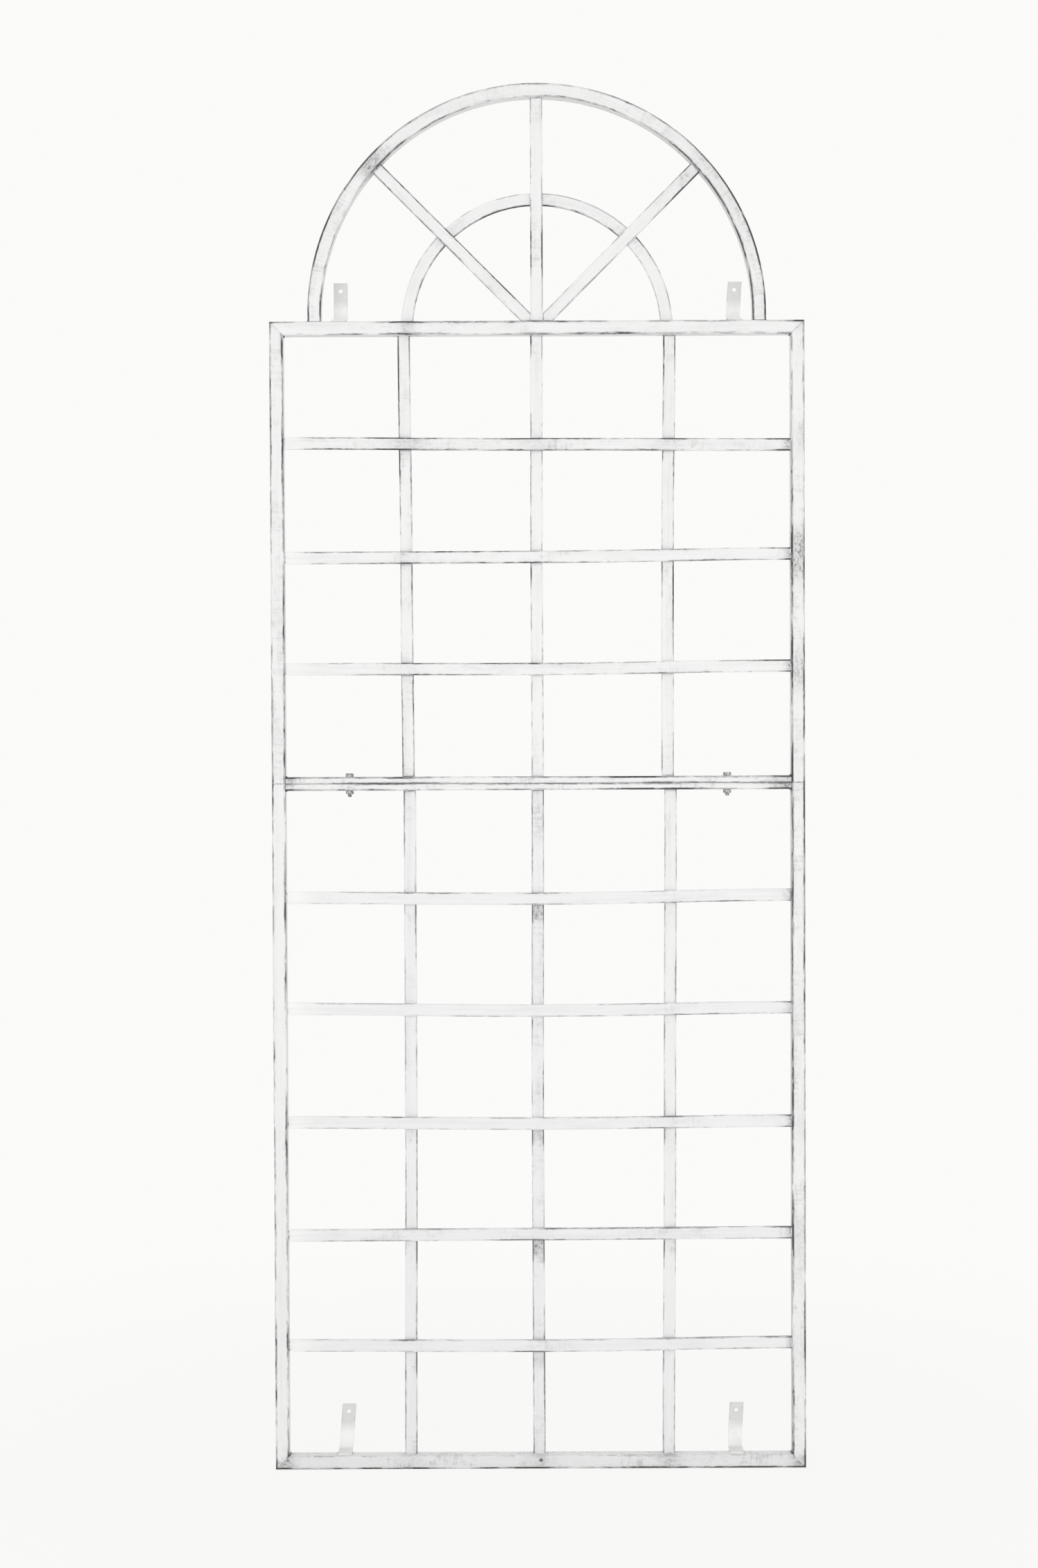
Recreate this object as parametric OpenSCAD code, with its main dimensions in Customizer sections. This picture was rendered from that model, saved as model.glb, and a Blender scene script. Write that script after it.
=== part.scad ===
// Espalier frame: a two-section wall trellis of square tube and flat bar with a fanlight on top.
// Millimetres. The front faces -Y, the wall is at +Y, and the bottom rail stands on z = 0.

/* [Frame] */
// Outside width of both sections
frame_w = 770; // [600:5:1000]
// Height of the lower section, from the floor to the joint
lower_h = 995; // [700:5:1300]
// Height of the upper section, from the joint to the top of the top rail
upper_h = 665; // [500:5:900]
// Side of the square tube of the frame and the outer arch
tube = 20; // [16:1:24]
// Wall of the tubes
tube_wall = 1.5; // [1:0.1:2.5]
// Outer corner radius of the tubes
tube_round = 2; // [1:0.1:3]
// Height of the two meeting rails, which are as deep as the frame
meeting_rail_h = 10; // [8:1:16]

/* [Lattice] */
// Width of the flat bar of the lattice, the spokes and the inner arch
bar_w = 18; // [10:1:22]
// Thickness of the flat bar
bar_t = 5; // [3:0.5:7]
// Cross bars in the upper section
upper_bars = 3; // [1:1:5]
// Cross bars in the lower section
lower_bars = 5; // [1:1:8]

/* [Fanlight] */
// Distance from the side of the frame to the outer arch's leg
arch_inset = 55; // [5:1:80]
// Length of the straight legs under the outer arch
arch_leg = 10; // [2:1:60]
// Depth of the inner arch's centre below the top of the top rail
inner_arch_drop = 12; // [0:1:60]
// Depth of the point that the spokes fan out from, below the top of the top rail
spoke_drop = 10; // [0:1:20]
// Slant of the two outer spokes from upright
spoke_angle = 45; // [30:1:60]
// Gap that a weld fills between a spoke's end and the outer arch
weld_gap = 0.1; // [0.05:0.05:0.5]

/* [Wall brackets] */
// Width of the bracket strip
bracket_w = 20; // [12:1:30]
// Thickness of the bracket strip
bracket_t = 3; // [2:0.5:5]
// Gap between an upper bracket and the outer arch's leg
bracket_gap = 15; // [2:1:60]
// Distance from the front of a rail back to the bracket's foot
bracket_setback = 2; // [1:0.5:6]
// Straight length behind a rail, before the bend
bracket_arm = 5; // [1:1:40]
// Inner radius of the bend
bracket_bend = 20; // [4:1:40]
// Straight length above the bend
bracket_upright = 40; // [25:1:90]
// Distance from the upper end to the middle of the screw hole
bracket_hole_inset = 11.5; // [6:0.5:16]
// Diameter of the screw hole
bracket_hole_d = 6; // [4:0.5:8]

/* [Joint bolts] */
// Distance from the side of the frame to a bolt's axis
bolt_inset = 112; // [50:1:130]
// Diameter of the bolts
bolt_d = 6; // [5:0.5:8]
// Room around a bolt in its holes
bolt_room = 0.3; // [0.1:0.1:1]
// Length of a bolt past its nut
bolt_end = 4; // [1:0.5:12]
// Chamfer of a bolt's end
bolt_chamfer = 1; // [0.2:0.1:1.5]
// Width of a bolt's head across the flats
head_flats = 10; // [9:0.5:14]
// Height of a bolt's head
head_h = 5; // [3:0.5:8]
// Width of a nut across the flats
nut_flats = 10; // [9:0.5:14]
// Height of a nut
nut_h = 5; // [3:0.5:8]
// Height of the rounded-off corners on heads and nuts
hex_chamfer = 0.6; // [0.2:0.1:1.2]
// Room between a nut and its bolt, so that the nut turns
nut_room = 0.05; // [0.02:0.01:0.1]
// Room between a nut and the rail above it, so that the nut turns
nut_gap = 0.1; // [0.05:0.05:0.5]

/* [Hidden] */
$fn = 96;
// Sides of a hexagon head or nut
hex_sides = 6;
// Overrun of a cutting shape past the piece that it cuts
cut = 1;
sides = ["left", "centre", "right"];

half_w = frame_w / 2;
inner_half_w = half_w - tube;
half_tube = tube / 2;
rail_top = lower_h + upper_h;

// The uprights stand at even gaps between the stiles
upright_gap = (2 * inner_half_w - len(sides) * bar_w) / (len(sides) + 1);
upright_pitch = upright_gap + bar_w;

// The outer arch is a half circle on two short legs
arch_r = half_w - arch_inset;
arch_mid_r = arch_r - half_tube;
arch_in_r = arch_r - tube;
arch_z = rail_top + arch_leg;

// The inner arch's feet stand over the outer uprights
inner_arch_foot = upright_pitch + bar_w / 2;
inner_arch_r = sqrt(pow(inner_arch_foot, 2) + pow(inner_arch_drop, 2));
inner_arch_z = rail_top - inner_arch_drop;

spoke_z = rail_top - spoke_drop;
spoke_reach = arch_r + arch_leg + spoke_drop;

bracket_x = arch_in_r - bracket_gap - bracket_w / 2;
bracket_front = bracket_setback - half_tube;
bracket_bend_y = half_tube + bracket_arm;
bracket_bend_z = bracket_t + bracket_bend;
bracket_wall_y = bracket_bend_y + bracket_bend;
bracket_top = bracket_bend_z + bracket_upright;
bracket_hole_z = bracket_top - bracket_hole_inset;

bolt_x = half_w - bolt_inset;
head_z = lower_h + meeting_rail_h;
nut_z = lower_h - meeting_rail_h - nut_gap - nut_h;
bolt_tip_z = nut_z - bolt_end;

// Names of the pieces that come in rows
function upright_names(section) = [for (side = sides) str(section, "_", side, "_upright")];
function bar_names(section, count) = [for (i = [1 : count]) str(section, "_cross_bar_", i)];

// Height of the middle of cross bar i, of count bars at even gaps between low and high
function bar_z(low, high, count, i) =
    let (gap = (high - low - count * bar_w) / (count + 1))
    low + i * (gap + bar_w) - bar_w / 2;

module whitewash() { color([0.88, 0.88, 0.86]) children(); }
module bare_steel() { color([0.55, 0.55, 0.54]) children(); }

// Rectangle with round corners, centred
module round_rectangle(width, height, radius) {
    square([width, height - 2 * radius], center = true);
    square([width - 2 * radius, height], center = true);
    for (x = [-1, 1], y = [-1, 1])
        translate([x * (width / 2 - radius), y * (height / 2 - radius)])
            circle(r = radius);
}

// Section of a hollow tube, with an inner corner that follows the outer one
module tube_section(width, height) {
    inner_width = width - 2 * tube_wall;
    inner_height = height - 2 * tube_wall;
    difference() {
        round_rectangle(width, height, tube_round);
        if (tube_round > tube_wall)
            round_rectangle(inner_width, inner_height, tube_round - tube_wall);
        else
            square([inner_width, inner_height], center = true);
    }
}

// Stretches a drawing of the front view, x across and y up, through the depth from back to front
module through_depth(front, back) {
    translate([0, back, 0])
        rotate([90, 0, 0])
            linear_extrude(height = back - front)
                children();
}

// Keeps what lies inside a front-view outline
module trim_to(outline) {
    intersection() {
        children();
        through_depth(-half_tube - cut, half_tube + cut)
            polygon(outline);
    }
}

// Left-hand stile with a square end at joint_z and a mitre at corner_z, above or below it
module left_stile(joint_z, corner_z) {
    up = corner_z > joint_z ? 1 : -1;
    outside = -half_w - cut;
    inside = -inner_half_w + cut;
    whitewash()
        trim_to([
            [outside, joint_z - up * cut],
            [inside, joint_z - up * cut],
            [inside, corner_z - up * (tube + cut)],
            [outside, corner_z + up * cut]
        ])
            translate([half_tube - half_w, 0, min(joint_z, corner_z)])
                linear_extrude(height = abs(corner_z - joint_z))
                    tube_section(tube, tube);
}

module right_stile(joint_z, corner_z) {
    mirror([1, 0, 0])
        left_stile(joint_z, corner_z);
}

// Tube that lies along X, centred, with its middle at height z
module lying_tube(length, height, z) {
    translate([0, 0, z])
        rotate([90, 0, 90])
            linear_extrude(height = length, center = true)
                tube_section(tube, height);
}

// Rail across the whole width, mitred into the stiles; up says which way its outer face looks
module mitred_rail(outer_z, up) {
    wide = half_w + cut;
    narrow = inner_half_w - cut;
    inner_z = outer_z - up * (tube + cut);
    whitewash()
        trim_to([
            [-wide, outer_z + up * cut],
            [wide, outer_z + up * cut],
            [narrow, inner_z],
            [-narrow, inner_z]
        ])
            lying_tube(frame_w, tube, outer_z - up * half_tube);
}

// Low rail between the stiles at the joint, drilled for the two bolts
module meeting_rail(z) {
    whitewash()
        difference() {
            lying_tube(2 * inner_half_w, meeting_rail_h, z);
            for (side = [-1, 1])
                translate([side * bolt_x, 0, z])
                    cylinder(h = meeting_rail_h + 2 * cut, d = bolt_d + 2 * bolt_room, center = true);
        }
}

// Flat bar that stands behind the cross bars
module upright(x, low, high) {
    whitewash()
        translate([x - bar_w / 2, 0, low])
            cube([bar_w, bar_t, high - low]);
}

// Flat bar from stile to stile, in front of the uprights
module cross_bar(z) {
    whitewash()
        translate([-inner_half_w, -bar_t, z - bar_w / 2])
            cube([2 * inner_half_w, bar_t, bar_w]);
}

// Half circle of square tube on two straight legs
module outer_arch() {
    whitewash()
        union() {
            translate([0, 0, arch_z])
                rotate([90, 0, 0])
                    rotate_extrude(angle = 180)
                        translate([arch_mid_r, 0])
                            tube_section(tube, tube);
            for (side = [-1, 1])
                translate([side * arch_mid_r, 0, rail_top])
                    linear_extrude(height = arch_leg)
                        tube_section(tube, tube);
        }
}

// Arc of flat bar, cut off level where it stands on the top rail
module inner_arch() {
    whitewash()
        through_depth(0, bar_t)
            translate([0, inner_arch_z])
                difference() {
                    circle(r = inner_arch_r);
                    circle(r = inner_arch_r - bar_w);
                    translate([-inner_arch_r - cut, -inner_arch_r - cut])
                        square([2 * (inner_arch_r + cut), inner_arch_r + cut + inner_arch_drop]);
                }
}

// Flat bar from the spokes' meeting point, with its far end cut to the outer arch's inside
module spoke_blank(angle) {
    intersection() {
        through_depth(-bar_t, 0)
            translate([0, spoke_z])
                rotate(-angle)
                    translate([-bar_w / 2, 0])
                        square([bar_w, spoke_reach]);
        through_depth(-bar_t - cut, cut)
            difference() {
                translate([0, arch_z])
                    circle(r = arch_in_r - weld_gap);
                translate([-arch_r, rail_top - 2 * arch_r])
                    square([2 * arch_r, 2 * arch_r]);
            }
    }
}

module centre_spoke() { whitewash() spoke_blank(0); }

// Slanting spoke, cut off against the side of the centre spoke
module right_spoke() {
    whitewash()
        difference() {
            spoke_blank(spoke_angle);
            through_depth(-bar_t - cut, cut)
                translate([bar_w / 2 - arch_r, rail_top - cut])
                    square([arch_r, arch_r]);
        }
}

module left_spoke() { mirror([1, 0, 0]) right_spoke(); }

// Side view of a bracket, y across and z up from the top of its rail: foot, bend and upright
module bracket_side() {
    bend_out = bracket_bend + bracket_t;
    translate([bracket_front, 0])
        square([bracket_bend_y - bracket_front, bracket_t]);
    translate([bracket_bend_y, bracket_bend_z])
        intersection() {
            difference() {
                circle(r = bend_out);
                circle(r = bracket_bend);
            }
            translate([0, -bend_out])
                square([bend_out, bend_out]);
        }
    translate([bracket_wall_y, bracket_bend_z])
        square([bracket_t, bracket_upright]);
}

// Bent strip that stands on a rail and is screwed to the wall
module bracket(x, rail_z) {
    whitewash()
        translate([x, 0, rail_z])
            difference() {
                rotate([90, 0, 90])
                    linear_extrude(height = bracket_w, center = true)
                        bracket_side();
                translate([0, bracket_wall_y - cut, bracket_hole_z])
                    rotate([-90, 0, 0])
                        cylinder(h = bracket_t + 2 * cut, d = bracket_hole_d);
            }
}

// Hexagon prism with the corners rounded off at one end, or at both
module hex_block(flats, height, both_ends) {
    flat_r = flats / 2;
    corner_r = flat_r / cos(180 / hex_sides);
    bottom_r = both_ends ? flat_r : corner_r;
    bottom_chamfer = both_ends ? hex_chamfer : 0;
    intersection() {
        cylinder(h = height, r = corner_r, $fn = hex_sides);
        rotate_extrude()
            polygon([
                [0, 0],
                [bottom_r, 0],
                [corner_r, bottom_chamfer],
                [corner_r, height - hex_chamfer],
                [flat_r, height],
                [0, height]
            ]);
    }
}

// Hexagon bolt that hangs by its head from the upper meeting rail
module joint_bolt(x) {
    bare_steel()
        translate([x, 0, 0])
            union() {
                translate([0, 0, head_z])
                    hex_block(head_flats, head_h, false);
                translate([0, 0, bolt_tip_z + bolt_chamfer])
                    cylinder(h = head_z - bolt_tip_z - bolt_chamfer, d = bolt_d);
                translate([0, 0, bolt_tip_z])
                    cylinder(h = bolt_chamfer, d1 = bolt_d - 2 * bolt_chamfer, d2 = bolt_d);
            }
}

// Nut that turns on its bolt under the lower meeting rail
module joint_nut(x) {
    bare_steel()
        translate([x, 0, nut_z])
            difference() {
                hex_block(nut_flats, nut_h, true);
                translate([0, 0, -cut])
                    cylinder(h = nut_h + 2 * cut, d = bolt_d + 2 * nut_room);
            }
}

outer_arch();
inner_arch();
left_spoke();
centre_spoke();
right_spoke();

mitred_rail(rail_top, 1);  // top_rail
left_stile(lower_h, rail_top);  // upper_left_stile
right_stile(lower_h, rail_top);  // upper_right_stile
meeting_rail(lower_h + meeting_rail_h / 2);  // upper_meeting_rail
for (i = [0 : len(sides) - 1])
    upright((i - 1) * upright_pitch, lower_h + meeting_rail_h, rail_top - tube);
for (i = [1 : upper_bars])
    cross_bar(bar_z(lower_h + meeting_rail_h, rail_top - tube, upper_bars, i));

meeting_rail(lower_h - meeting_rail_h / 2);  // lower_meeting_rail
left_stile(lower_h, 0);  // lower_left_stile
right_stile(lower_h, 0);  // lower_right_stile
mitred_rail(0, -1);  // bottom_rail
for (i = [0 : len(sides) - 1])
    upright((i - 1) * upright_pitch, tube, lower_h - meeting_rail_h);
for (i = [1 : lower_bars])
    cross_bar(bar_z(tube, lower_h - meeting_rail_h, lower_bars, i));

joint_bolt(-bolt_x);  // left_joint_bolt
joint_bolt(bolt_x);  // right_joint_bolt
joint_nut(-bolt_x);  // left_joint_nut
joint_nut(bolt_x);  // right_joint_nut

bracket(-bracket_x, rail_top);  // upper_left_bracket
bracket(bracket_x, rail_top);  // upper_right_bracket
bracket(-bracket_x, tube);  // lower_left_bracket
bracket(bracket_x, tube);  // lower_right_bracket
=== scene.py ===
"""Dresses the espalier frame: two sections of square tube, a flat-bar lattice and a fanlight on top.

Each piece is cut from stock, shaped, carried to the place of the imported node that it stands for, and
painted. Sizes are metres, the front faces -Y and the bottom rail stands on the floor at z = 0.
"""

import logging
import math
from collections.abc import Callable, Iterator, Sequence
from contextlib import contextmanager
from dataclasses import dataclass, field
from enum import Enum
from functools import cache

import bmesh
import bpy
import numpy as np
from mathutils import Matrix, Vector


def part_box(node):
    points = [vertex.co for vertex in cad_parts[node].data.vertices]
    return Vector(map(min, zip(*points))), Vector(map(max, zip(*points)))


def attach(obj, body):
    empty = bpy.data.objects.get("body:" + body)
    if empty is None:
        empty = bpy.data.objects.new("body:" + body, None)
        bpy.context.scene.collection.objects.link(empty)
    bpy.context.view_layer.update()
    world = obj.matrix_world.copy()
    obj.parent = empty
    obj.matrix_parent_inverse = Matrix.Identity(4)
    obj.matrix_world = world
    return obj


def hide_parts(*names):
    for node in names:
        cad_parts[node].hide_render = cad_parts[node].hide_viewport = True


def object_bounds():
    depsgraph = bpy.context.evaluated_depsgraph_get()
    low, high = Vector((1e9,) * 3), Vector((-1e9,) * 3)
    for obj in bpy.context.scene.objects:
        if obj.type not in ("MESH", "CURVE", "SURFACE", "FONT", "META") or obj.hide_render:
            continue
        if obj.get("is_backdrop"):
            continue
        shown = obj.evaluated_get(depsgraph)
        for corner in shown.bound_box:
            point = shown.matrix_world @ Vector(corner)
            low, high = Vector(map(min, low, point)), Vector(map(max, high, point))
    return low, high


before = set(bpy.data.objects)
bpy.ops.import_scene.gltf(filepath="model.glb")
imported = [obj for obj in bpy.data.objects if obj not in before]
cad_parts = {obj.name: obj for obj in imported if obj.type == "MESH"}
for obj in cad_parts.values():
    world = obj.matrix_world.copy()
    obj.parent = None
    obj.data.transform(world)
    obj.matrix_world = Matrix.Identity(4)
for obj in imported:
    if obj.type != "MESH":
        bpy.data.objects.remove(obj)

Piece = bpy.types.Object
Colour = tuple[float, float, float]

MM = 0.001
X, Y, Z = Vector((1, 0, 0)), Vector((0, 1, 0)), Vector((0, 0, 1))
FRAME_BODY = "frame"
log = logging.getLogger("espalier_frame")


class Pick(Enum):
    """What an edit selects on a mesh."""

    VERTS = 0
    EDGES = 1
    FACES = 2


class Mark(Enum):
    """The attributes that the wear of a piece, and the light and shade painted on it, are written to.
    """

    GRAIN = "grain"
    RUB = "rub"
    SCUFF = "scuff"


class Side(Enum):
    """A side of the frame, by the sign of its X."""

    LEFT = -1
    RIGHT = 1

    @property
    def word(self) -> str:
        """The side's name, as the nodes have it."""
        return self.name.lower()


class Section(Enum):
    """A section of the frame, by the sign of the way from the joint to its mitred rail."""

    UPPER = 1
    LOWER = -1

    @property
    def word(self) -> str:
        """The section's name, as the nodes have it."""
        return self.name.lower()

    @property
    def rail(self) -> str:
        """Node of the section's mitred rail."""
        return "top_rail" if self is Section.UPPER else "bottom_rail"

    @property
    def meeting_rail(self) -> str:
        """Node of the section's rail at the joint."""
        return f"{self.word}_meeting_rail"

    def bars(self, kind: str) -> list[str]:
        """Nodes of the section's bars of one kind, upright or cross_bar, in order."""
        found = [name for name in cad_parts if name.startswith(self.word) and kind in name]
        return sorted(found, key=lambda name: tuple(centre_of(name)))


def centre_of(node: str) -> Vector:
    """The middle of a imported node's box."""
    low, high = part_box(node)
    return (low + high) / 2


def size_of(node: str) -> Vector:
    """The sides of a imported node's box."""
    low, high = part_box(node)
    return high - low


def moved(point: Vector, **coordinates: float) -> Vector:
    """A copy of a point with some of its coordinates replaced."""
    return Vector([coordinates.get(name, getattr(point, name)) for name in "xyz"])


def points_of(piece: Piece) -> np.ndarray:
    """The places of a piece's vertices, a row each.

    Args:
        piece: The piece.

    Returns:
        The places, in the piece's own frame.
    """
    flat = np.empty(len(piece.data.vertices) * 3, np.float32)
    piece.data.vertices.foreach_get("co", flat)
    return flat.reshape(-1, 3).astype(float)


class Bench:
    """The modelling bench: the steps that every piece is made with.

    Attributes:
        HOLE_SIDES: Sides of a drilled hole.
        LEVEL: Least share of a normal that points along an axis, for a face square to it.
        PLAY: How far a level may be off and still count.
    """

    HOLE_SIDES = 32
    LEVEL = 0.99
    PLAY = 0.05 * MM

    @staticmethod
    def hold(piece: Piece) -> None:
        """Makes one piece the only selected one, and the active one.

        Args:
            piece: The piece.
        """
        bpy.ops.object.select_all(action="DESELECT")
        piece.select_set(True)
        bpy.context.view_layer.objects.active = piece

    @staticmethod
    def start(name: str, primitive: Callable[..., set[str]], **settings: object) -> Piece:
        """Adds a primitive that a piece is shaped from, with its place in its mesh.

        Args:
            name: Name of the piece.
            primitive: The operator that adds it.
            settings: The operator's settings.

        Returns:
            The new piece.
        """
        bpy.ops.object.select_all(action="DESELECT")
        primitive(**settings)
        piece = bpy.context.object
        piece.name = piece.data.name = name
        bpy.ops.object.transform_apply(location=True, rotation=True, scale=True)
        return piece

    @staticmethod
    def rod(
        name: str,
        sides: int,
        radius: float,
        length: float,
        middle: Vector,
        turn: Sequence[float] = (0.0, 0.0, 0.0),
    ) -> Piece:
        """Starts a piece from an upright rod.

        Args:
            name: Name of the piece.
            sides: Number of its sides.
            radius: Its radius.
            length: Its length.
            middle: Its middle.
            turn: How it is turned from upright.

        Returns:
            The new piece.
        """
        return Bench.start(
            name,
            bpy.ops.mesh.primitive_cylinder_add,
            vertices=sides,
            radius=radius,
            depth=length,
            location=middle,
            rotation=turn,
        )

    @staticmethod
    @contextmanager
    def editing(piece: Piece) -> Iterator[None]:
        """Opens a piece in edit mode with all of it selected.

        Args:
            piece: The piece, which is back in object mode afterwards.

        Yields:
            Nothing, while the piece is in edit mode.
        """
        Bench.hold(piece)
        bpy.ops.object.mode_set(mode="EDIT")
        bpy.ops.mesh.select_all(action="SELECT")
        yield
        bpy.ops.object.mode_set(mode="OBJECT")

    @staticmethod
    def pick(piece: Piece, kind: Pick, test: Callable[..., bool]) -> None:
        """Selects what passes a test, and nothing else.

        Args:
            piece: The piece in edit mode.
            kind: Vertices, edges or faces.
            test: Says of one such element whether it is selected.
        """
        bpy.context.tool_settings.mesh_select_mode = [kind is each for each in Pick]
        bpy.ops.mesh.select_all(action="DESELECT")
        mesh = bmesh.from_edit_mesh(piece.data)
        for element in (mesh.verts, mesh.edges, mesh.faces)[kind.value]:
            if test(element):
                element.select_set(True)
        mesh.select_flush_mode()
        bmesh.update_edit_mesh(piece.data)

    @staticmethod
    def lies_at(face: bmesh.types.BMFace, *levels: float) -> bool:
        """Says whether a face lies flat at one of some levels.

        Args:
            face: The face.
            levels: The heights.

        Returns:
            True if it lies at one of them.
        """
        height = face.calc_center_median().z
        near = any(abs(height - level) < Bench.PLAY for level in levels)
        return near and abs(face.normal.z) > Bench.LEVEL

    @staticmethod
    def ring(piece: Piece, length: float, cuts: int) -> None:
        """Divides the long edges of an upright piece, in edit mode."""
        Bench.pick(piece, Pick.EDGES, lambda e: abs((e.verts[0].co - e.verts[1].co).z) > length / 2)
        bpy.ops.mesh.subdivide(number_cuts=cuts)

    @staticmethod
    def pull(way: Vector, reach: float, falloff: str) -> None:
        """Moves the selected vertices, and those within reach less and less, in edit mode.

        Args:
            way: How far the selected ones move.
            reach: How far the pull spreads.
            falloff: How it fades, by its name in Blender.
        """
        bpy.ops.transform.translate(
            value=way,
            use_proportional_edit=True,
            proportional_edit_falloff=falloff,
            proportional_size=reach,
        )

    @staticmethod
    def extrude(way: Vector) -> None:
        """Extrudes the selected faces, in edit mode."""
        bpy.ops.mesh.extrude_region_move(TRANSFORM_OT_translate={"value": way})

    @staticmethod
    def score(place: Vector, normal: Vector) -> None:
        """Cuts a loop of edges along a plane, in edit mode."""
        bpy.ops.mesh.select_all(action="SELECT")
        bpy.ops.mesh.bisect(plane_co=place, plane_no=normal)

    @staticmethod
    def face_out() -> None:
        """Turns all faces outwards, in edit mode."""
        bpy.ops.mesh.select_all(action="SELECT")
        bpy.ops.mesh.normals_make_consistent(inside=False)

    @staticmethod
    def trim(piece: Piece, place: Vector, way: Vector, band: float) -> None:
        """Saws off what lies beyond a plane, and scores a line beside the cut.

        Args:
            piece: The piece to saw.
            place: A point of the plane.
            way: The way to the waste.
            band: Distance from the cut to the scored line.
        """
        with Bench.editing(piece):
            Bench.score(place - way.normalized() * band, way)
            bpy.ops.mesh.select_all(action="SELECT")
            bpy.ops.mesh.bisect(plane_co=place, plane_no=way, use_fill=True, clear_outer=True)

    @staticmethod
    def carry(piece: Piece, place: Matrix) -> None:
        """Moves a piece from the bench to its place, and keeps the place in its mesh.

        Args:
            piece: The piece, as modelled on the bench.
            place: Where it goes.
        """
        Bench.hold(piece)
        piece.matrix_world = place
        bpy.ops.object.transform_apply(location=True, rotation=True, scale=True)

    @staticmethod
    def modify(piece: Piece, kind: str, **settings: object) -> None:
        """Adds a modifier to a piece and applies it.

        Args:
            piece: The piece.
            kind: The modifier's type.
            settings: The modifier's properties.
        """
        Bench.hold(piece)
        modifier = piece.modifiers.new(kind.title(), kind)
        for name, value in settings.items():
            setattr(modifier, name, value)
        bpy.ops.object.modifier_apply(modifier=modifier.name)

    @staticmethod
    def combine(piece: Piece, tool: Piece, operation: str) -> None:
        """Cuts a piece with a tool, or adds the tool to it, and puts the tool away."""
        Bench.modify(piece, "BOOLEAN", operation=operation, solver="EXACT", object=tool)
        bpy.data.objects.remove(tool)

    @staticmethod
    def drill(piece: Piece, middle: Vector, axis: Vector, diameter: float, depth: float) -> None:
        """Drills a round hole.

        Args:
            piece: The piece that is drilled.
            middle: Middle of the hole.
            axis: Direction of the hole.
            diameter: Its diameter.
            depth: Its length.
        """
        turn = Z.rotation_difference(axis).to_euler()
        drill = Bench.rod("drill", Bench.HOLE_SIDES, diameter / 2, depth, middle, turn)
        Bench.combine(piece, drill, "DIFFERENCE")

    @staticmethod
    def smooth(piece: Piece, angle: float = 38.0) -> None:
        """Shades a piece smoothly, apart from edges sharper than an angle in degrees."""
        Bench.hold(piece)
        bpy.ops.object.shade_smooth_by_angle(angle=math.radians(angle))


class Value:
    """A number that a node gives, which takes part in Python expressions."""

    def __init__(self, sheet: "Sheet", socket: bpy.types.NodeSocket | None) -> None:
        """Keeps the node sheet and the socket."""
        self.sheet = sheet
        self.socket = socket

    def __add__(self, other: "Value | float") -> "Value":
        """Sum."""
        return self.sheet.math("ADD", self, other)

    def __radd__(self, other: float) -> "Value":
        """Sum, with the number first."""
        return self.sheet.math("ADD", other, self)

    def __sub__(self, other: "Value | float") -> "Value":
        """Difference."""
        return self.sheet.math("SUBTRACT", self, other)

    def __rsub__(self, other: float) -> "Value":
        """Difference, with the number first."""
        return self.sheet.math("SUBTRACT", other, self)

    def __mul__(self, other: "Value | float") -> "Value":
        """Product."""
        return self.sheet.math("MULTIPLY", self, other)

    def __rmul__(self, other: float) -> "Value":
        """Product, with the number first."""
        return self.sheet.math("MULTIPLY", other, self)

    def larger(self, other: "Value | float") -> "Value":
        """The larger of two values."""
        return self.sheet.math("MAXIMUM", self, other)

    def between(self, low: float, high: float) -> "Value":
        """A smooth step from 0 at low to 1 at high."""
        sockets = {"Value": self, "From Min": low, "From Max": high}
        return self.sheet.node("ShaderNodeMapRange", {"interpolation_type": "SMOOTHSTEP"}, sockets)


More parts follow.
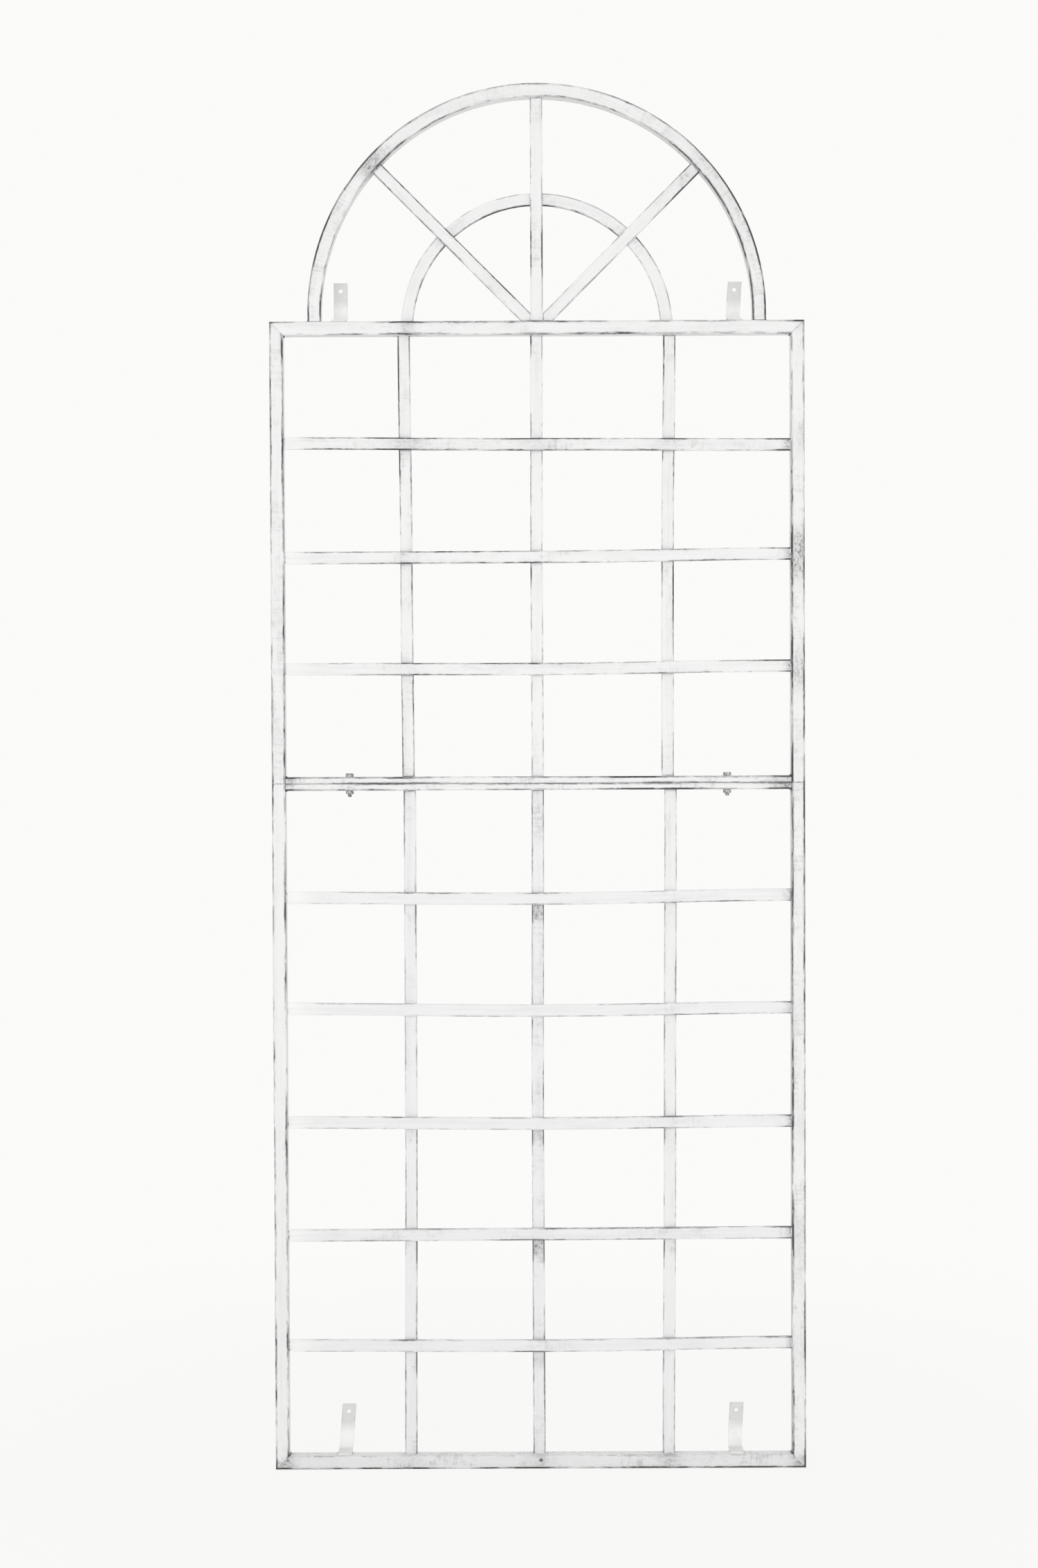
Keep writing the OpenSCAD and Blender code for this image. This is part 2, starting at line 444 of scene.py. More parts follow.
class Sheet:
    """The node sheet of a material or of the world."""

    def __init__(self, tree: bpy.types.NodeTree) -> None:
        """Takes over a node tree and clears it."""
        self.tree = tree
        tree.nodes.clear()

    def node(
        self,
        kind: str,
        settings: dict[str, object],
        sockets: dict[str | int, object],
        output: str | int = 0,
    ) -> Value:
        """Adds a node.

        Args:
            kind: The node's type.
            settings: Its properties, which are set first.
            sockets: What its inputs hold: numbers, colours or other nodes' values.
            output: The output to read.

        Returns:
            That output.
        """
        made = self.tree.nodes.new(kind)
        for name, setting in settings.items():
            setattr(made, name, setting)
        for name, content in sockets.items():
            if isinstance(content, Value):
                self.tree.links.new(content.socket, made.inputs[name])
            else:
                made.inputs[name].default_value = content
        return Value(self, made.outputs[output] if made.outputs else None)

    def math(self, operation: str, *terms: Value | float) -> Value:
        """Adds a Math node for an expression."""
        return self.node("ShaderNodeMath", {"operation": operation}, dict(enumerate(terms)))

    def mix(self, share: Value, below: Value | Colour, above: Value | Colour) -> Value:
        """Shows a share of one colour above another.

        Args:
            share: How much of the upper colour shows, from 0 to 1.
            below: The lower colour.
            above: The upper colour.

        Returns:
            The mixed colour.
        """
        below, above = (c if isinstance(c, Value) else (*c, 1.0) for c in (below, above))
        # The node's colours are its inputs 6 and 7 and its output 2.
        sockets = {"Factor": share, 6: below, 7: above}
        return self.node("ShaderNodeMix", {"data_type": "RGBA"}, sockets, 2)

    def noise(
        self, place: Value, along: float, across: float, detail: float, rough: float = 0.55
    ) -> Value:
        """Adds a noise.

        Args:
            place: Where the noise is read, in metres.
            along: Size of a grain along the first axis of the place.
            across: Its size along the other two.
            detail: Levels of finer noise.
            rough: Strength of the finer levels.

        Returns:
            The noise, about 0.5 on average.
        """
        scale = (1 / along, 1 / across, 1 / across)
        scaled = self.node("ShaderNodeVectorMath", {"operation": "MULTIPLY"}, {0: place, 1: scale})
        sockets = {"Vector": scaled, "Scale": 1.0, "Detail": detail, "Roughness": rough}
        return self.node("ShaderNodeTexNoise", {}, sockets)

    def read(self, mark: Mark, output: str = "Fac") -> Value:
        """Reads an attribute of the mesh."""
        return self.node("ShaderNodeAttribute", {"attribute_name": mark.value}, {}, output)

    def surface(self, sockets: dict[str | int, object], relief: Value, strength: float) -> None:
        """Closes a finish with a shader whose surface follows a relief.

        Args:
            sockets: What the shader's inputs hold.
            relief: Height of the surface, in tenths of a millimetre.
            strength: How much of the relief shows.
        """
        bump_sockets = {"Strength": strength, "Distance": 0.1 * MM, "Height": relief}
        bump = self.node("ShaderNodeBump", {}, bump_sockets)
        shader = self.node("ShaderNodeBsdfPrincipled", {}, {**sockets, "Normal": bump})
        self.node("ShaderNodeOutputMaterial", {}, {"Surface": shader})


def new_material(name: str) -> tuple[bpy.types.Material, Sheet]:
    """A new material, and its node sheet.

    Args:
        name: Its name.

    Returns:
        The material and the sheet that its nodes are laid out on.
    """
    made = bpy.data.materials.new(name)
    made.use_nodes = True
    return made, Sheet(made.node_tree)


@dataclass(frozen=True)
class Whitewash:
    """White paint brushed over black iron, and rubbed through along the edges.

    Attributes:
        name: Name of the material.
        paint: Colour of a full coat.
        fresh: Colour of an untouched coat, which also serves as a painted highlight.
        thin: Colour of a coat that the iron shows through.
        iron: Colour of the bare iron.
        rubbed: How strongly the edges have lost their paint.
        smudged: How strongly the faces are marked near the joints.
        slot: Name of a slot; not used.
    """

    name: str
    paint: Colour = (0.885, 0.889, 0.892)
    fresh: Colour = (0.95, 0.95, 0.945)
    thin: Colour = (0.38, 0.38, 0.385)
    iron: Colour = (0.03, 0.03, 0.032)
    rubbed: float = 1.0
    smudged: float = 1.0
    slot: str = "whitewashed_iron"

    @cache
    def material(self) -> bpy.types.Material:
        """Makes the material, once.

        Returns:
            The material, with its nodes.
        """
        made, sheet = new_material(self.name)
        grain = sheet.read(Mark.GRAIN, "Vector")
        rub, scuff = sheet.read(Mark.RUB), sheet.read(Mark.SCUFF)

        stretch = sheet.noise(grain, 130 * MM, 14 * MM, 3.0, 0.6)
        dashes = sheet.noise(grain, 28 * MM, 5 * MM, 2.0)
        flecks = sheet.noise(grain, 7 * MM, 1.8 * MM, 2.0)
        streaks = sheet.noise(grain, 140 * MM, 4 * MM, 3.0, 0.6)
        strokes = sheet.noise(grain, 3.5 * MM, 30 * MM, 3.0, 0.6)
        blotches = sheet.noise(grain, 50 * MM, 20 * MM, 3.0)
        clouds = sheet.noise(grain, 11 * MM, 7 * MM, 4.0, 0.7)
        pits = sheet.noise(grain, 5 * MM, 3 * MM, 2.0)
        # The positive part of the mark stands for scuffing and dirt, and in places painted shade; the
        # negative part for fresher paint, and in places a painted highlight.
        worn, fresh_and_lit_share = scuff.larger(0.0), (0.0 - scuff).larger(0.0)

        # Along the edges the coat is rubbed thin, and in places down to the iron.
        ragged = rub + 0.35 * (flecks - 0.5) + 0.5 * (stretch - 0.5)
        edge, brink = ragged.between(0.05, 0.7) * self.rubbed, ragged.between(0.02, 0.55) * self.rubbed
        wear = stretch + 0.17 * scuff + 0.28 * (flecks - 0.5) + 0.6 * (dashes - 0.5)
        line = edge * (0.07 + 0.75 * wear.between(0.45, 0.56))
        chips = pits.between(0.55, 0.75) * worn.between(1.0, 1.8)
        bare = (0.9 * brink * wear.between(0.58, 0.74)).larger(0.7 * chips)

        # On the faces it is smudged and grimy near the joints, darker still where shade is painted
        # under crossings and rails and beside stiles, and uneven all over.
        smudge = worn * (0.5 * strokes + 0.5 * clouds).between(0.44, 0.66) * blotches.between(0.4, 0.62)
        # Painted shade and dirt together: darker where the mark is high, as under crossings and rails
        # and beside stiles.
        grime_and_shade = worn.between(0.6, 2.0) * (0.36 + 0.5 * (0.5 * pits + 0.5 * clouds).between(0.42, 0.6))
        tone = 0.1 * streaks.between(0.4, 0.75) + 0.08 * blotches.between(0.45, 0.8)

        # Where the mark is below 0 the coat is lighter: fresher paint, and on the brackets' lower parts
        # and the cross bars' left ends a painted highlight as well.
        coat = sheet.mix(fresh_and_lit_share, self.paint, self.fresh)
        marked_coat = sheet.mix(tone + self.smudged * (0.6 * smudge).larger(grime_and_shade), coat, self.thin)
        rubbed_coat = sheet.mix(line, marked_coat, self.thin)
        colour = sheet.mix(bare, rubbed_coat, self.iron)

        roughness = 0.62 - 0.12 * bare + 0.12 * (streaks - 0.5)
        relief = 0.5 * streaks + 0.25 * flecks - 0.8 * bare
        sockets = {"Base Color": colour, "Roughness": roughness, "Specular IOR Level": 0.3}
        sheet.surface(sockets, relief, 0.25)
        return made


@dataclass(frozen=True)
class DullSteel:
    """Zinc-plated steel that has gone dull.

    Attributes:
        name: Name of the material.
        plate: Colour of the plating.
        stain: Colour of the tarnish.
        slot: Name of a slot; not used.
    """

    name: str
    plate: Colour = (0.55, 0.55, 0.54)
    stain: Colour = (0.24, 0.24, 0.235)
    slot: str = "joint_steel"

    @cache
    def material(self) -> bpy.types.Material:
        """Makes the material, once.

        Returns:
            The material, with its nodes.
        """
        made, sheet = new_material(self.name)
        place = sheet.node("ShaderNodeTexCoord", {}, {}, "Object")
        tarnish = sheet.noise(place, 4 * MM, 4 * MM, 4.0, 0.65)
        specks = sheet.noise(place, 0.8 * MM, 0.8 * MM, 2.0)
        colour = sheet.mix(tarnish.between(0.42, 0.62), self.plate, self.stain)
        sockets = {"Base Color": colour, "Metallic": 0.6, "Roughness": 0.42 + 0.2 * tarnish}
        sheet.surface(sockets, specks, 0.2)
        return made


Finish = Whitewash | DullSteel
FRAME_PAINT = Whitewash("whitewash_on_iron")
SPLASHED_PAINT = Whitewash("splashed_whitewash_on_iron", paint=(0.835, 0.84, 0.845), smudged=1.2)
LOW_BAR_PAINT = Whitewash("grey_whitewash_on_iron", paint=(0.862, 0.868, 0.874), rubbed=0.75)
BRACKET_PAINT = Whitewash("thin_whitewash_on_strip", paint=(0.75, 0.75, 0.745), rubbed=0.3)
BOLT_STEEL = DullSteel("dull_zinc")


@dataclass(frozen=True)
class Straight:
    """The middle line of a straight piece.

    Attributes:
        start: A point of the line.
        way: Its direction.
    """

    start: Vector
    way: Vector

    def unroll(self, points: np.ndarray) -> np.ndarray:
        """Gives each point's place along, across and behind the line.

        Args:
            points: The points, a row each.

        Returns:
            The three distances, a row for each point.
        """
        offset = points - np.array(self.start)
        along, across = offset @ np.array(self.way), offset @ np.array(self.way.cross(Y))
        return np.stack([along, across, offset[:, 1]], axis=1)


@dataclass(frozen=True)
class Arc:
    """The middle line of a piece bent in the front plane.

    Attributes:
        centre: Centre of the bend.
        radius: Radius of the middle line.
    """

    centre: Vector
    radius: float

    def at(self, angle: float) -> Vector:
        """The point of the line at an angle from upright."""
        return self.centre + Vector((math.sin(angle), 0, math.cos(angle))) * self.radius

    def unroll(self, points: np.ndarray) -> np.ndarray:
        """Gives each point's place along, across and behind the line.

        Args:
            points: The points, a row each.

        Returns:
            The three distances, a row for each point.
        """
        offset = points - np.array(self.centre)
        along = self.radius * np.arctan2(offset[:, 0], offset[:, 2])
        across = np.hypot(offset[:, 0], offset[:, 2]) - self.radius
        return np.stack([along, across, offset[:, 1]], axis=1)


Line = Straight | Arc


@dataclass(frozen=True)
class Cut:
    """A sawn end.

    Attributes:
        place: A point of its plane.
        way: The way to the waste.
        rub: How exposed its edges are to rubbing, from 0 to 1.
    """

    place: Vector
    way: Vector
    rub: float = 1.0


@dataclass(frozen=True)
class Contact:
    """A place where a piece meets another.

    Attributes:
        place: The point.
        scuff: How scuffed the paint is there, and in places how much shade is painted; below 0 it is
            painted lighter, as fresher paint and in places as a painted highlight.
        reach: Distance along the piece over which that fades.
    """

    place: Vector
    scuff: float = 1.0
    reach: float = 45 * MM


@dataclass(frozen=True)
class Wear:
    """Where the paint of a piece wears, and where light and shade are painted on it, vertex by vertex.

    Attributes:
        grain: Place along, across and behind the middle line.
        rub: How exposed a vertex is to rubbing, from 0 to 1.
        scuff: How scuffed the paint is, from -1, fresher and in places a painted highlight, to 2, grimy
            and in places painted shade.
        BATCH_STEP: How far one piece's pattern lies from the next one's, in metres.
    """

    BATCH_STEP = (1.37, 0.31, 0.0)
    grain: np.ndarray
    rub: np.ndarray
    scuff: np.ndarray

    def write(self, piece: Piece, batch: int) -> None:
        """Writes the attributes that the paint reads.

        Args:
            piece: The piece.
            batch: The piece's number, which sets its pattern apart.
        """
        grain = self.grain + batch * np.array(self.BATCH_STEP)
        attributes = piece.data.attributes
        vectors = attributes.new(Mark.GRAIN.value, "FLOAT_VECTOR", "POINT")
        vectors.data.foreach_set("vector", grain.astype(np.float32).ravel())
        rub, scuff = np.clip(self.rub, 0, 1), np.clip(self.scuff, -1, 2)
        for mark, values in ((Mark.RUB, rub), (Mark.SCUFF, scuff)):
            numbers = attributes.new(mark.value, "FLOAT", "POINT")
            numbers.data.foreach_set("value", values.astype(np.float32))


@dataclass(frozen=True)
class Stock:
    """Mill stock: square tube, low tube or flat bar.

    Attributes:
        across: Size across the front.
        deep: Size from front to back.
        corner: Radius of the long edges.
        wall: Wall of a tube, or None for solid bar.
        band: Width beside an edge that the rubbing reaches.
        step: Distance between the rings of the mesh.
        arris: How far the middle of a long edge lies from its radius' centre, as a share of the radius.
    """

    across: float
    deep: float
    corner: float
    wall: float | None
    band: float
    step: float = 10 * MM
    arris: float = 0.7

    def section(self, name: str, middle: Vector) -> Piece:
        """Draws the stock's section as a level face.

        Args:
            name: Name of the piece.
            middle: Middle of the section.

        Returns:
            The piece, a face so far.
        """
        piece = Bench.start(name, bpy.ops.mesh.primitive_plane_add, size=1.0, location=middle)
        with Bench.editing(piece):
            bpy.ops.transform.resize(value=(self.across, self.deep, 1.0), center_override=middle)
            bpy.ops.mesh.bevel(offset=self.corner, segments=3, affect="VERTICES")
            for axis, size in ((X, self.across), (Y, self.deep)):
                inset = size / 2 - self.corner - self.band
                for sign in (-1, 1) if inset > 0 else ():
                    Bench.score(middle + axis * sign * inset, axis)
        return piece

    def length(self, name: str, length: float) -> Piece:
        """Cuts a length, which stands on the origin.

        Args:
            name: Name of the piece.
            length: Its length.

        Returns:
            The piece.
        """
        piece = self.section(name, Vector())
        with Bench.editing(piece):
            Bench.extrude(Z * length)
            Bench.face_out()
            Bench.ring(piece, length, round(length / self.step))
            for height in (self.band, length - self.band):
                Bench.score(Z * height, Z)
        self.hollow(piece, 0.0, length)
        return piece

    def bend(self, name: str, arc: Arc, leg: float = 0.0) -> Piece:
        """Bends a length over a half circle, on two straight legs.

        Args:
            name: Name of the piece.
            arc: The middle line of the bend.
            leg: Length of the legs.

        Returns:
            The piece, in its place.
        """
        piece = self.section(name, arc.at(-math.pi / 2))
        with Bench.editing(piece):
            steps = round(math.pi * arc.radius / self.step)
            bpy.ops.mesh.spin(steps=steps, angle=math.pi, center=arc.centre, axis=-Y)
            Bench.face_out()
            if leg:
                Bench.pick(piece, Pick.FACES, lambda face: Bench.lies_at(face, arc.centre.z))
                Bench.extrude(-Z * leg)
        self.hollow(piece, arc.centre.z - leg)
        return piece

    def hollow(self, piece: Piece, *ends: float) -> None:
        """Opens a tube at the levels of its ends and gives it its wall.

        Args:
            piece: The tube, still solid.
            ends: Heights of the ends that are open.
        """
        if self.wall is None:
            return
        with Bench.editing(piece):
            Bench.pick(piece, Pick.FACES, lambda face: Bench.lies_at(face, *ends))
            bpy.ops.mesh.delete(type="FACE")
        Bench.modify(piece, "SOLIDIFY", thickness=self.wall, offset=-1.0, use_even_offset=True)

    def wear(
        self,
        piece: Piece,
        line: Line,
        contacts: Sequence[Contact],
        cuts: Sequence[Cut] = (),
        base: float = 0.0,
    ) -> Wear:
        """Works out where the paint wears: along the edges, at the cuts and near the contacts, where
        some marks are painted shade and painted highlights.

        Args:
            piece: The piece, in its place.
            line: Its middle line.
            contacts: Where it meets other pieces.
            cuts: Its sawn ends that show.
            base: How scuffed it is all along.

        Returns:
            The wear.
        """
        points = points_of(piece)
        grain = line.unroll(points)
        beside, behind = np.abs(grain[:, 1]), np.abs(grain[:, 2])
        from_edge = np.maximum(self.across / 2 - beside, self.deep / 2 - behind)
        reach = self.arris * self.corner + self.band
        rub = np.clip((self.corner + self.band - from_edge) / reach, 0, 1)
        for cut in cuts:
            from_cut = (np.array(cut.place) - points) @ np.array(cut.way.normalized())
            rub = np.maximum(rub, cut.rub * (1 - from_cut / self.band))
        scuff = np.full(len(points), base)
        for contact in contacts:
            distance = grain[:, 0] - line.unroll(np.array([contact.place]))[0, 0]
            near = np.exp(-((distance / contact.reach) ** 2))
            scuff += contact.scuff * near
            rub *= 1 - near * max(0.0, -contact.scuff)
        return Wear(grain, rub, scuff)


class Workshop:
    """Hands the finished pieces over: finish, body and the node that each stands for.

    Attributes:
        UNEVEN_PITCH: Distance between the rises of the stock's uneven faces.
    """

    UNEVEN_PITCH = 45 * MM

    def __init__(self) -> None:
        """Prepares the texture of the stock's uneven faces."""
        self.batch = 0
        self.uneven = bpy.data.textures.new("uneven_faces", "CLOUDS")
        self.uneven.noise_scale = self.UNEVEN_PITCH
        self.uneven.noise_depth = 2

    def weather(self, piece: Piece, depth: float = 0.25 * MM) -> None:
        """Makes the faces of a piece slightly uneven, never beyond their true size."""
        settings = {"texture": self.uneven, "texture_coords": "LOCAL", "mid_level": 0.0}
        Bench.modify(piece, "DISPLACE", strength=-depth, **settings)

    def paint(self, piece: Piece, wear: Wear, finish: Whitewash, *nodes: str) -> None:
        """Paints a worn piece of the frame and hands it over.

        Args:
            piece: The finished mesh.
            wear: Where its paint wears.
            finish: Its paint.
            nodes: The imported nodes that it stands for.
        """
        self.batch += 1
        wear.write(piece, self.batch)
        self.hand_over(piece, finish, FRAME_BODY, *nodes)

    def hand_over(self, piece: Piece, finish: Finish, body: str, *nodes: str) -> None:
        """Gives a piece its finish and fixes it to its body.

        Args:
            piece: The finished mesh.
            finish: Its finish.
            body: The body that it rides on.
            nodes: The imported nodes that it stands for.
        """
        Bench.smooth(piece)
        piece.data.materials.clear()
        piece.data.materials.append(finish.material())
        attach(piece, body)
        if nodes:
            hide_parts(*nodes)
        log.info("%s: %d faces, rides on %s", piece.name, len(piece.data.polygons), body)


@dataclass
class WeldRuns:
    """The painted weld beads of one sub-assembly.

    Attributes:
        name: Name of the joined piece.
        rub: How exposed the beads are to rubbing.
        scuff: How scuffed they are.
        radius: Radius of a bead.
        pitch: Distance between the ripples of a bead.
        ripple: Size of a bead's hollows, as a share of its crests.
        blunt: Size of its ends, as a share of its crests.
        sides: Number of its sides.
        share: Share of an edge that a bead runs along.
        runs: Where each bead starts and ends.
    """

    name: str
    rub: float = 0.3
    scuff: float = 0.7
    radius: float = 1.6 * MM
    pitch: float = 2 * MM
    ripple: float = 0.8
    blunt: float = 0.5
    sides: int = 6
    share: float = 0.8
    runs: list[tuple[Vector, Vector]] = field(default_factory=list)

    def run(self, middle: Vector, way: Vector, edge: float) -> None:
        """Notes a bead along an edge, by the edge's middle, direction and length."""
        half = way.normalized() * self.share * edge / 2
        self.runs.append((middle - half, middle + half))

    def bead(self, length: float) -> Piece:
        """Models a bead that stands on the origin: a rod with ripples and blunt ends.

        Args:
            length: Its length.

        Returns:
            The bead.
        """
        piece = Bench.rod("weld_bead", self.sides, self.radius, length, Z * length / 2)
        rings = max(2, 2 * round(length / self.pitch / 2))
        with Bench.editing(piece):
            Bench.ring(piece, length, rings - 1)
            for ring in range(0, rings + 1, 2):
                height = ring * length / rings
                Bench.pick(piece, Pick.VERTS, lambda v: abs(v.co.z - height) < Bench.PLAY)
                size = self.blunt if ring in (0, rings) else self.ripple
                bpy.ops.transform.resize(value=(size, size, 1.0), center_override=Z * height)
        return piece

    def build(self, shop: Workshop) -> None:
        """Copies a bead to each run and joins them.

        Args:
            shop: The workshop that finishes the pieces.
        """
        beads: dict[float, Piece] = {}
        copies: list[Piece] = []
        for start, end in self.runs:
            length = round((end - start).length, 4)
            if length not in beads:
                beads[length] = self.bead(length)
            copy = bpy.data.objects.new("weld_run", beads[length].data.copy())
            bpy.context.collection.objects.link(copy)
            turn = Z.rotation_difference(end - start).to_matrix().to_4x4()
            copy.matrix_world = Matrix.Translation(start) @ turn
            copies.append(copy)
        for bead in beads.values():
            bpy.data.objects.remove(bead)
        bpy.ops.object.select_all(action="DESELECT")
        for copy in copies:
            copy.select_set(True)
        piece = copies[0]
        bpy.context.view_layer.objects.active = piece
        bpy.ops.object.join()
        bpy.ops.object.transform_apply(location=True, rotation=True, scale=True)
        piece.name = piece.data.name = self.name
        points = points_of(piece)
        even = np.ones(len(points))
        shop.paint(piece, Wear(points[:, [0, 2, 1]], self.rub * even, self.scuff * even), FRAME_PAINT)


@dataclass(frozen=True)
class BarLook:
    """What sets one bar apart from its neighbours.

    Attributes:
        scuffs: How scuffed each of its crossings is, from its first end on; on an upright this also
            sets the painted shadow just under each cross bar.
        base: How scuffed it is all along.
        shift: How far its middle stands off its place: a cross bar's up, an upright's to the right.
        ends: How far its two ends stand off its middle, the same way, as the bars aren't dead straight.
    """

    scuffs: tuple[float, ...]
    base: float = 0.0
    shift: float = 0.0
    ends: tuple[float, float] = (0.0, 0.0)

    def sway(self, share: float) -> float:
        """How far the bar stands off its place, from -1, its first end, to 1, its last."""
        near = abs(share)
        return self.shift + self.ends[share > 0] * near * near * (3 - 2 * near)


@dataclass(frozen=True)
class SectionLook:
    """How the pieces of one section have worn.

    Attributes:
        rail: Finish of the mitred rail.
        bars: Finish of the uprights and the cross bars.
        rail_base: How scuffed the mitred rail is all along.
        rail_scuffs: How scuffed it is at each upright, from the left; on the top rail the mark at the
            left upright is also a painted shadow.
        rail_edges: Share of the rubbing that reaches its upper and its lower edges; on the bottom rail
            the lower share also paints the shade where the rail meets the floor.
        corners: How scuffed the left and the right mitre are.
        stiles: The left and the right stile, which the cross bars meet.
        uprights: The uprights, from the left.
        cross_bars: The cross bars, from below.
        bracket_leans: How far the upper ends of the left and the right bracket stand to the right.
    """

    rail: Whitewash
    bars: Whitewash
    rail_base: float
    rail_scuffs: tuple[float, ...]
    rail_edges: tuple[float, float]
    corners: tuple[float, float]
    stiles: tuple[BarLook, BarLook]
    uprights: tuple[BarLook, ...]
    cross_bars: tuple[BarLook, ...]
    bracket_leans: tuple[float, float]


UPPER_LOOK = SectionLook(
    rail=FRAME_PAINT,
    bars=FRAME_PAINT,
    rail_base=0.1,
    # The mark at the left upright is partly a painted shadow.
    rail_scuffs=(1.3, 0.3, 0.6),
    rail_edges=(1.0, 0.9),
    corners=(0.3, 1.1),
    stiles=(BarLook((0.2, 0.2, 0.1), 0.45), BarLook((1.1, 1.6, 0.7), 0.35)),
    uprights=(
        BarLook((0.2, 0.4, 0.6), 0.35, -2.5 * MM, (1.4 * MM, -2.5 * MM)),
        BarLook((0.2, 0.3, 0.3), -0.1, -1.5 * MM, (0.7 * MM, 0.8 * MM)),
        BarLook((0.3, 0.4, 0.4), 0.1, 1.0 * MM, (-0.8 * MM, 3.0 * MM)),
    ),
    cross_bars=(
        BarLook((0.9, 0.2, 0.2), 0.15, 0.5 * MM, (1.0 * MM, 3.5 * MM)),
        BarLook((0.9, 0.5, 0.2), 0.15, -1.2 * MM, (-0.5 * MM, 3.5 * MM)),
        BarLook((1.0, 0.8, 0.8), 0.3, -2.5 * MM, (2.5 * MM, -1.5 * MM)),
    ),
    bracket_leans=(0.0, 4.0 * MM),
)
LOWER_LOOK = SectionLook(
    rail=SPLASHED_PAINT,
    bars=LOW_BAR_PAINT,
    rail_base=0.8,
    rail_scuffs=(0.3, 0.5, 0.6),
    # The lower edge is darker from rubbing and from shade painted where the rail meets the floor.
    rail_edges=(0.2, 1.4),
    corners=(1.9, 1.4),
    stiles=(BarLook((0.2, 0.0, 0.1, 0.0, 0.0), -0.05), BarLook((0.4, 0.6, 0.4, 0.4, 0.3), 0.6)),
    uprights=(
        BarLook((0.7, 0.7, 0.9, 0.3, 0.6), 0.1, 0.7 * MM, (-2.2 * MM, 0.0)),
        BarLook((0.9, 1.5, 1.2, 0.5, 1.8), 0.4, -2.5 * MM, (0.5 * MM, 1.5 * MM)),
        BarLook((0.3, 1.1, 0.6, 0.4, 0.6), -0.1, 2.3 * MM, (-3.0 * MM, 2.0 * MM)),
    ),
    cross_bars=(
        BarLook((0.4, 0.7, 0.4), -0.1, 3.0 * MM, (1.8 * MM, 4.0 * MM)),
        BarLook((0.5, 0.9, 0.8), 0.1, 2.0 * MM, (-0.8 * MM, 1.4 * MM)),
        BarLook((0.4, 0.2, 0.7), -0.05, -1.0 * MM, (2.8 * MM, 2.8 * MM)),
        BarLook((0.1, 0.1, 0.5), -0.1, -1.0 * MM, (4.0 * MM, 3.6 * MM)),
        BarLook((0.1, 0.1, 0.3), -0.15, -2.5 * MM, (2.5 * MM, 4.5 * MM)),
    ),
    bracket_leans=(4.0 * MM, 3.5 * MM),
)


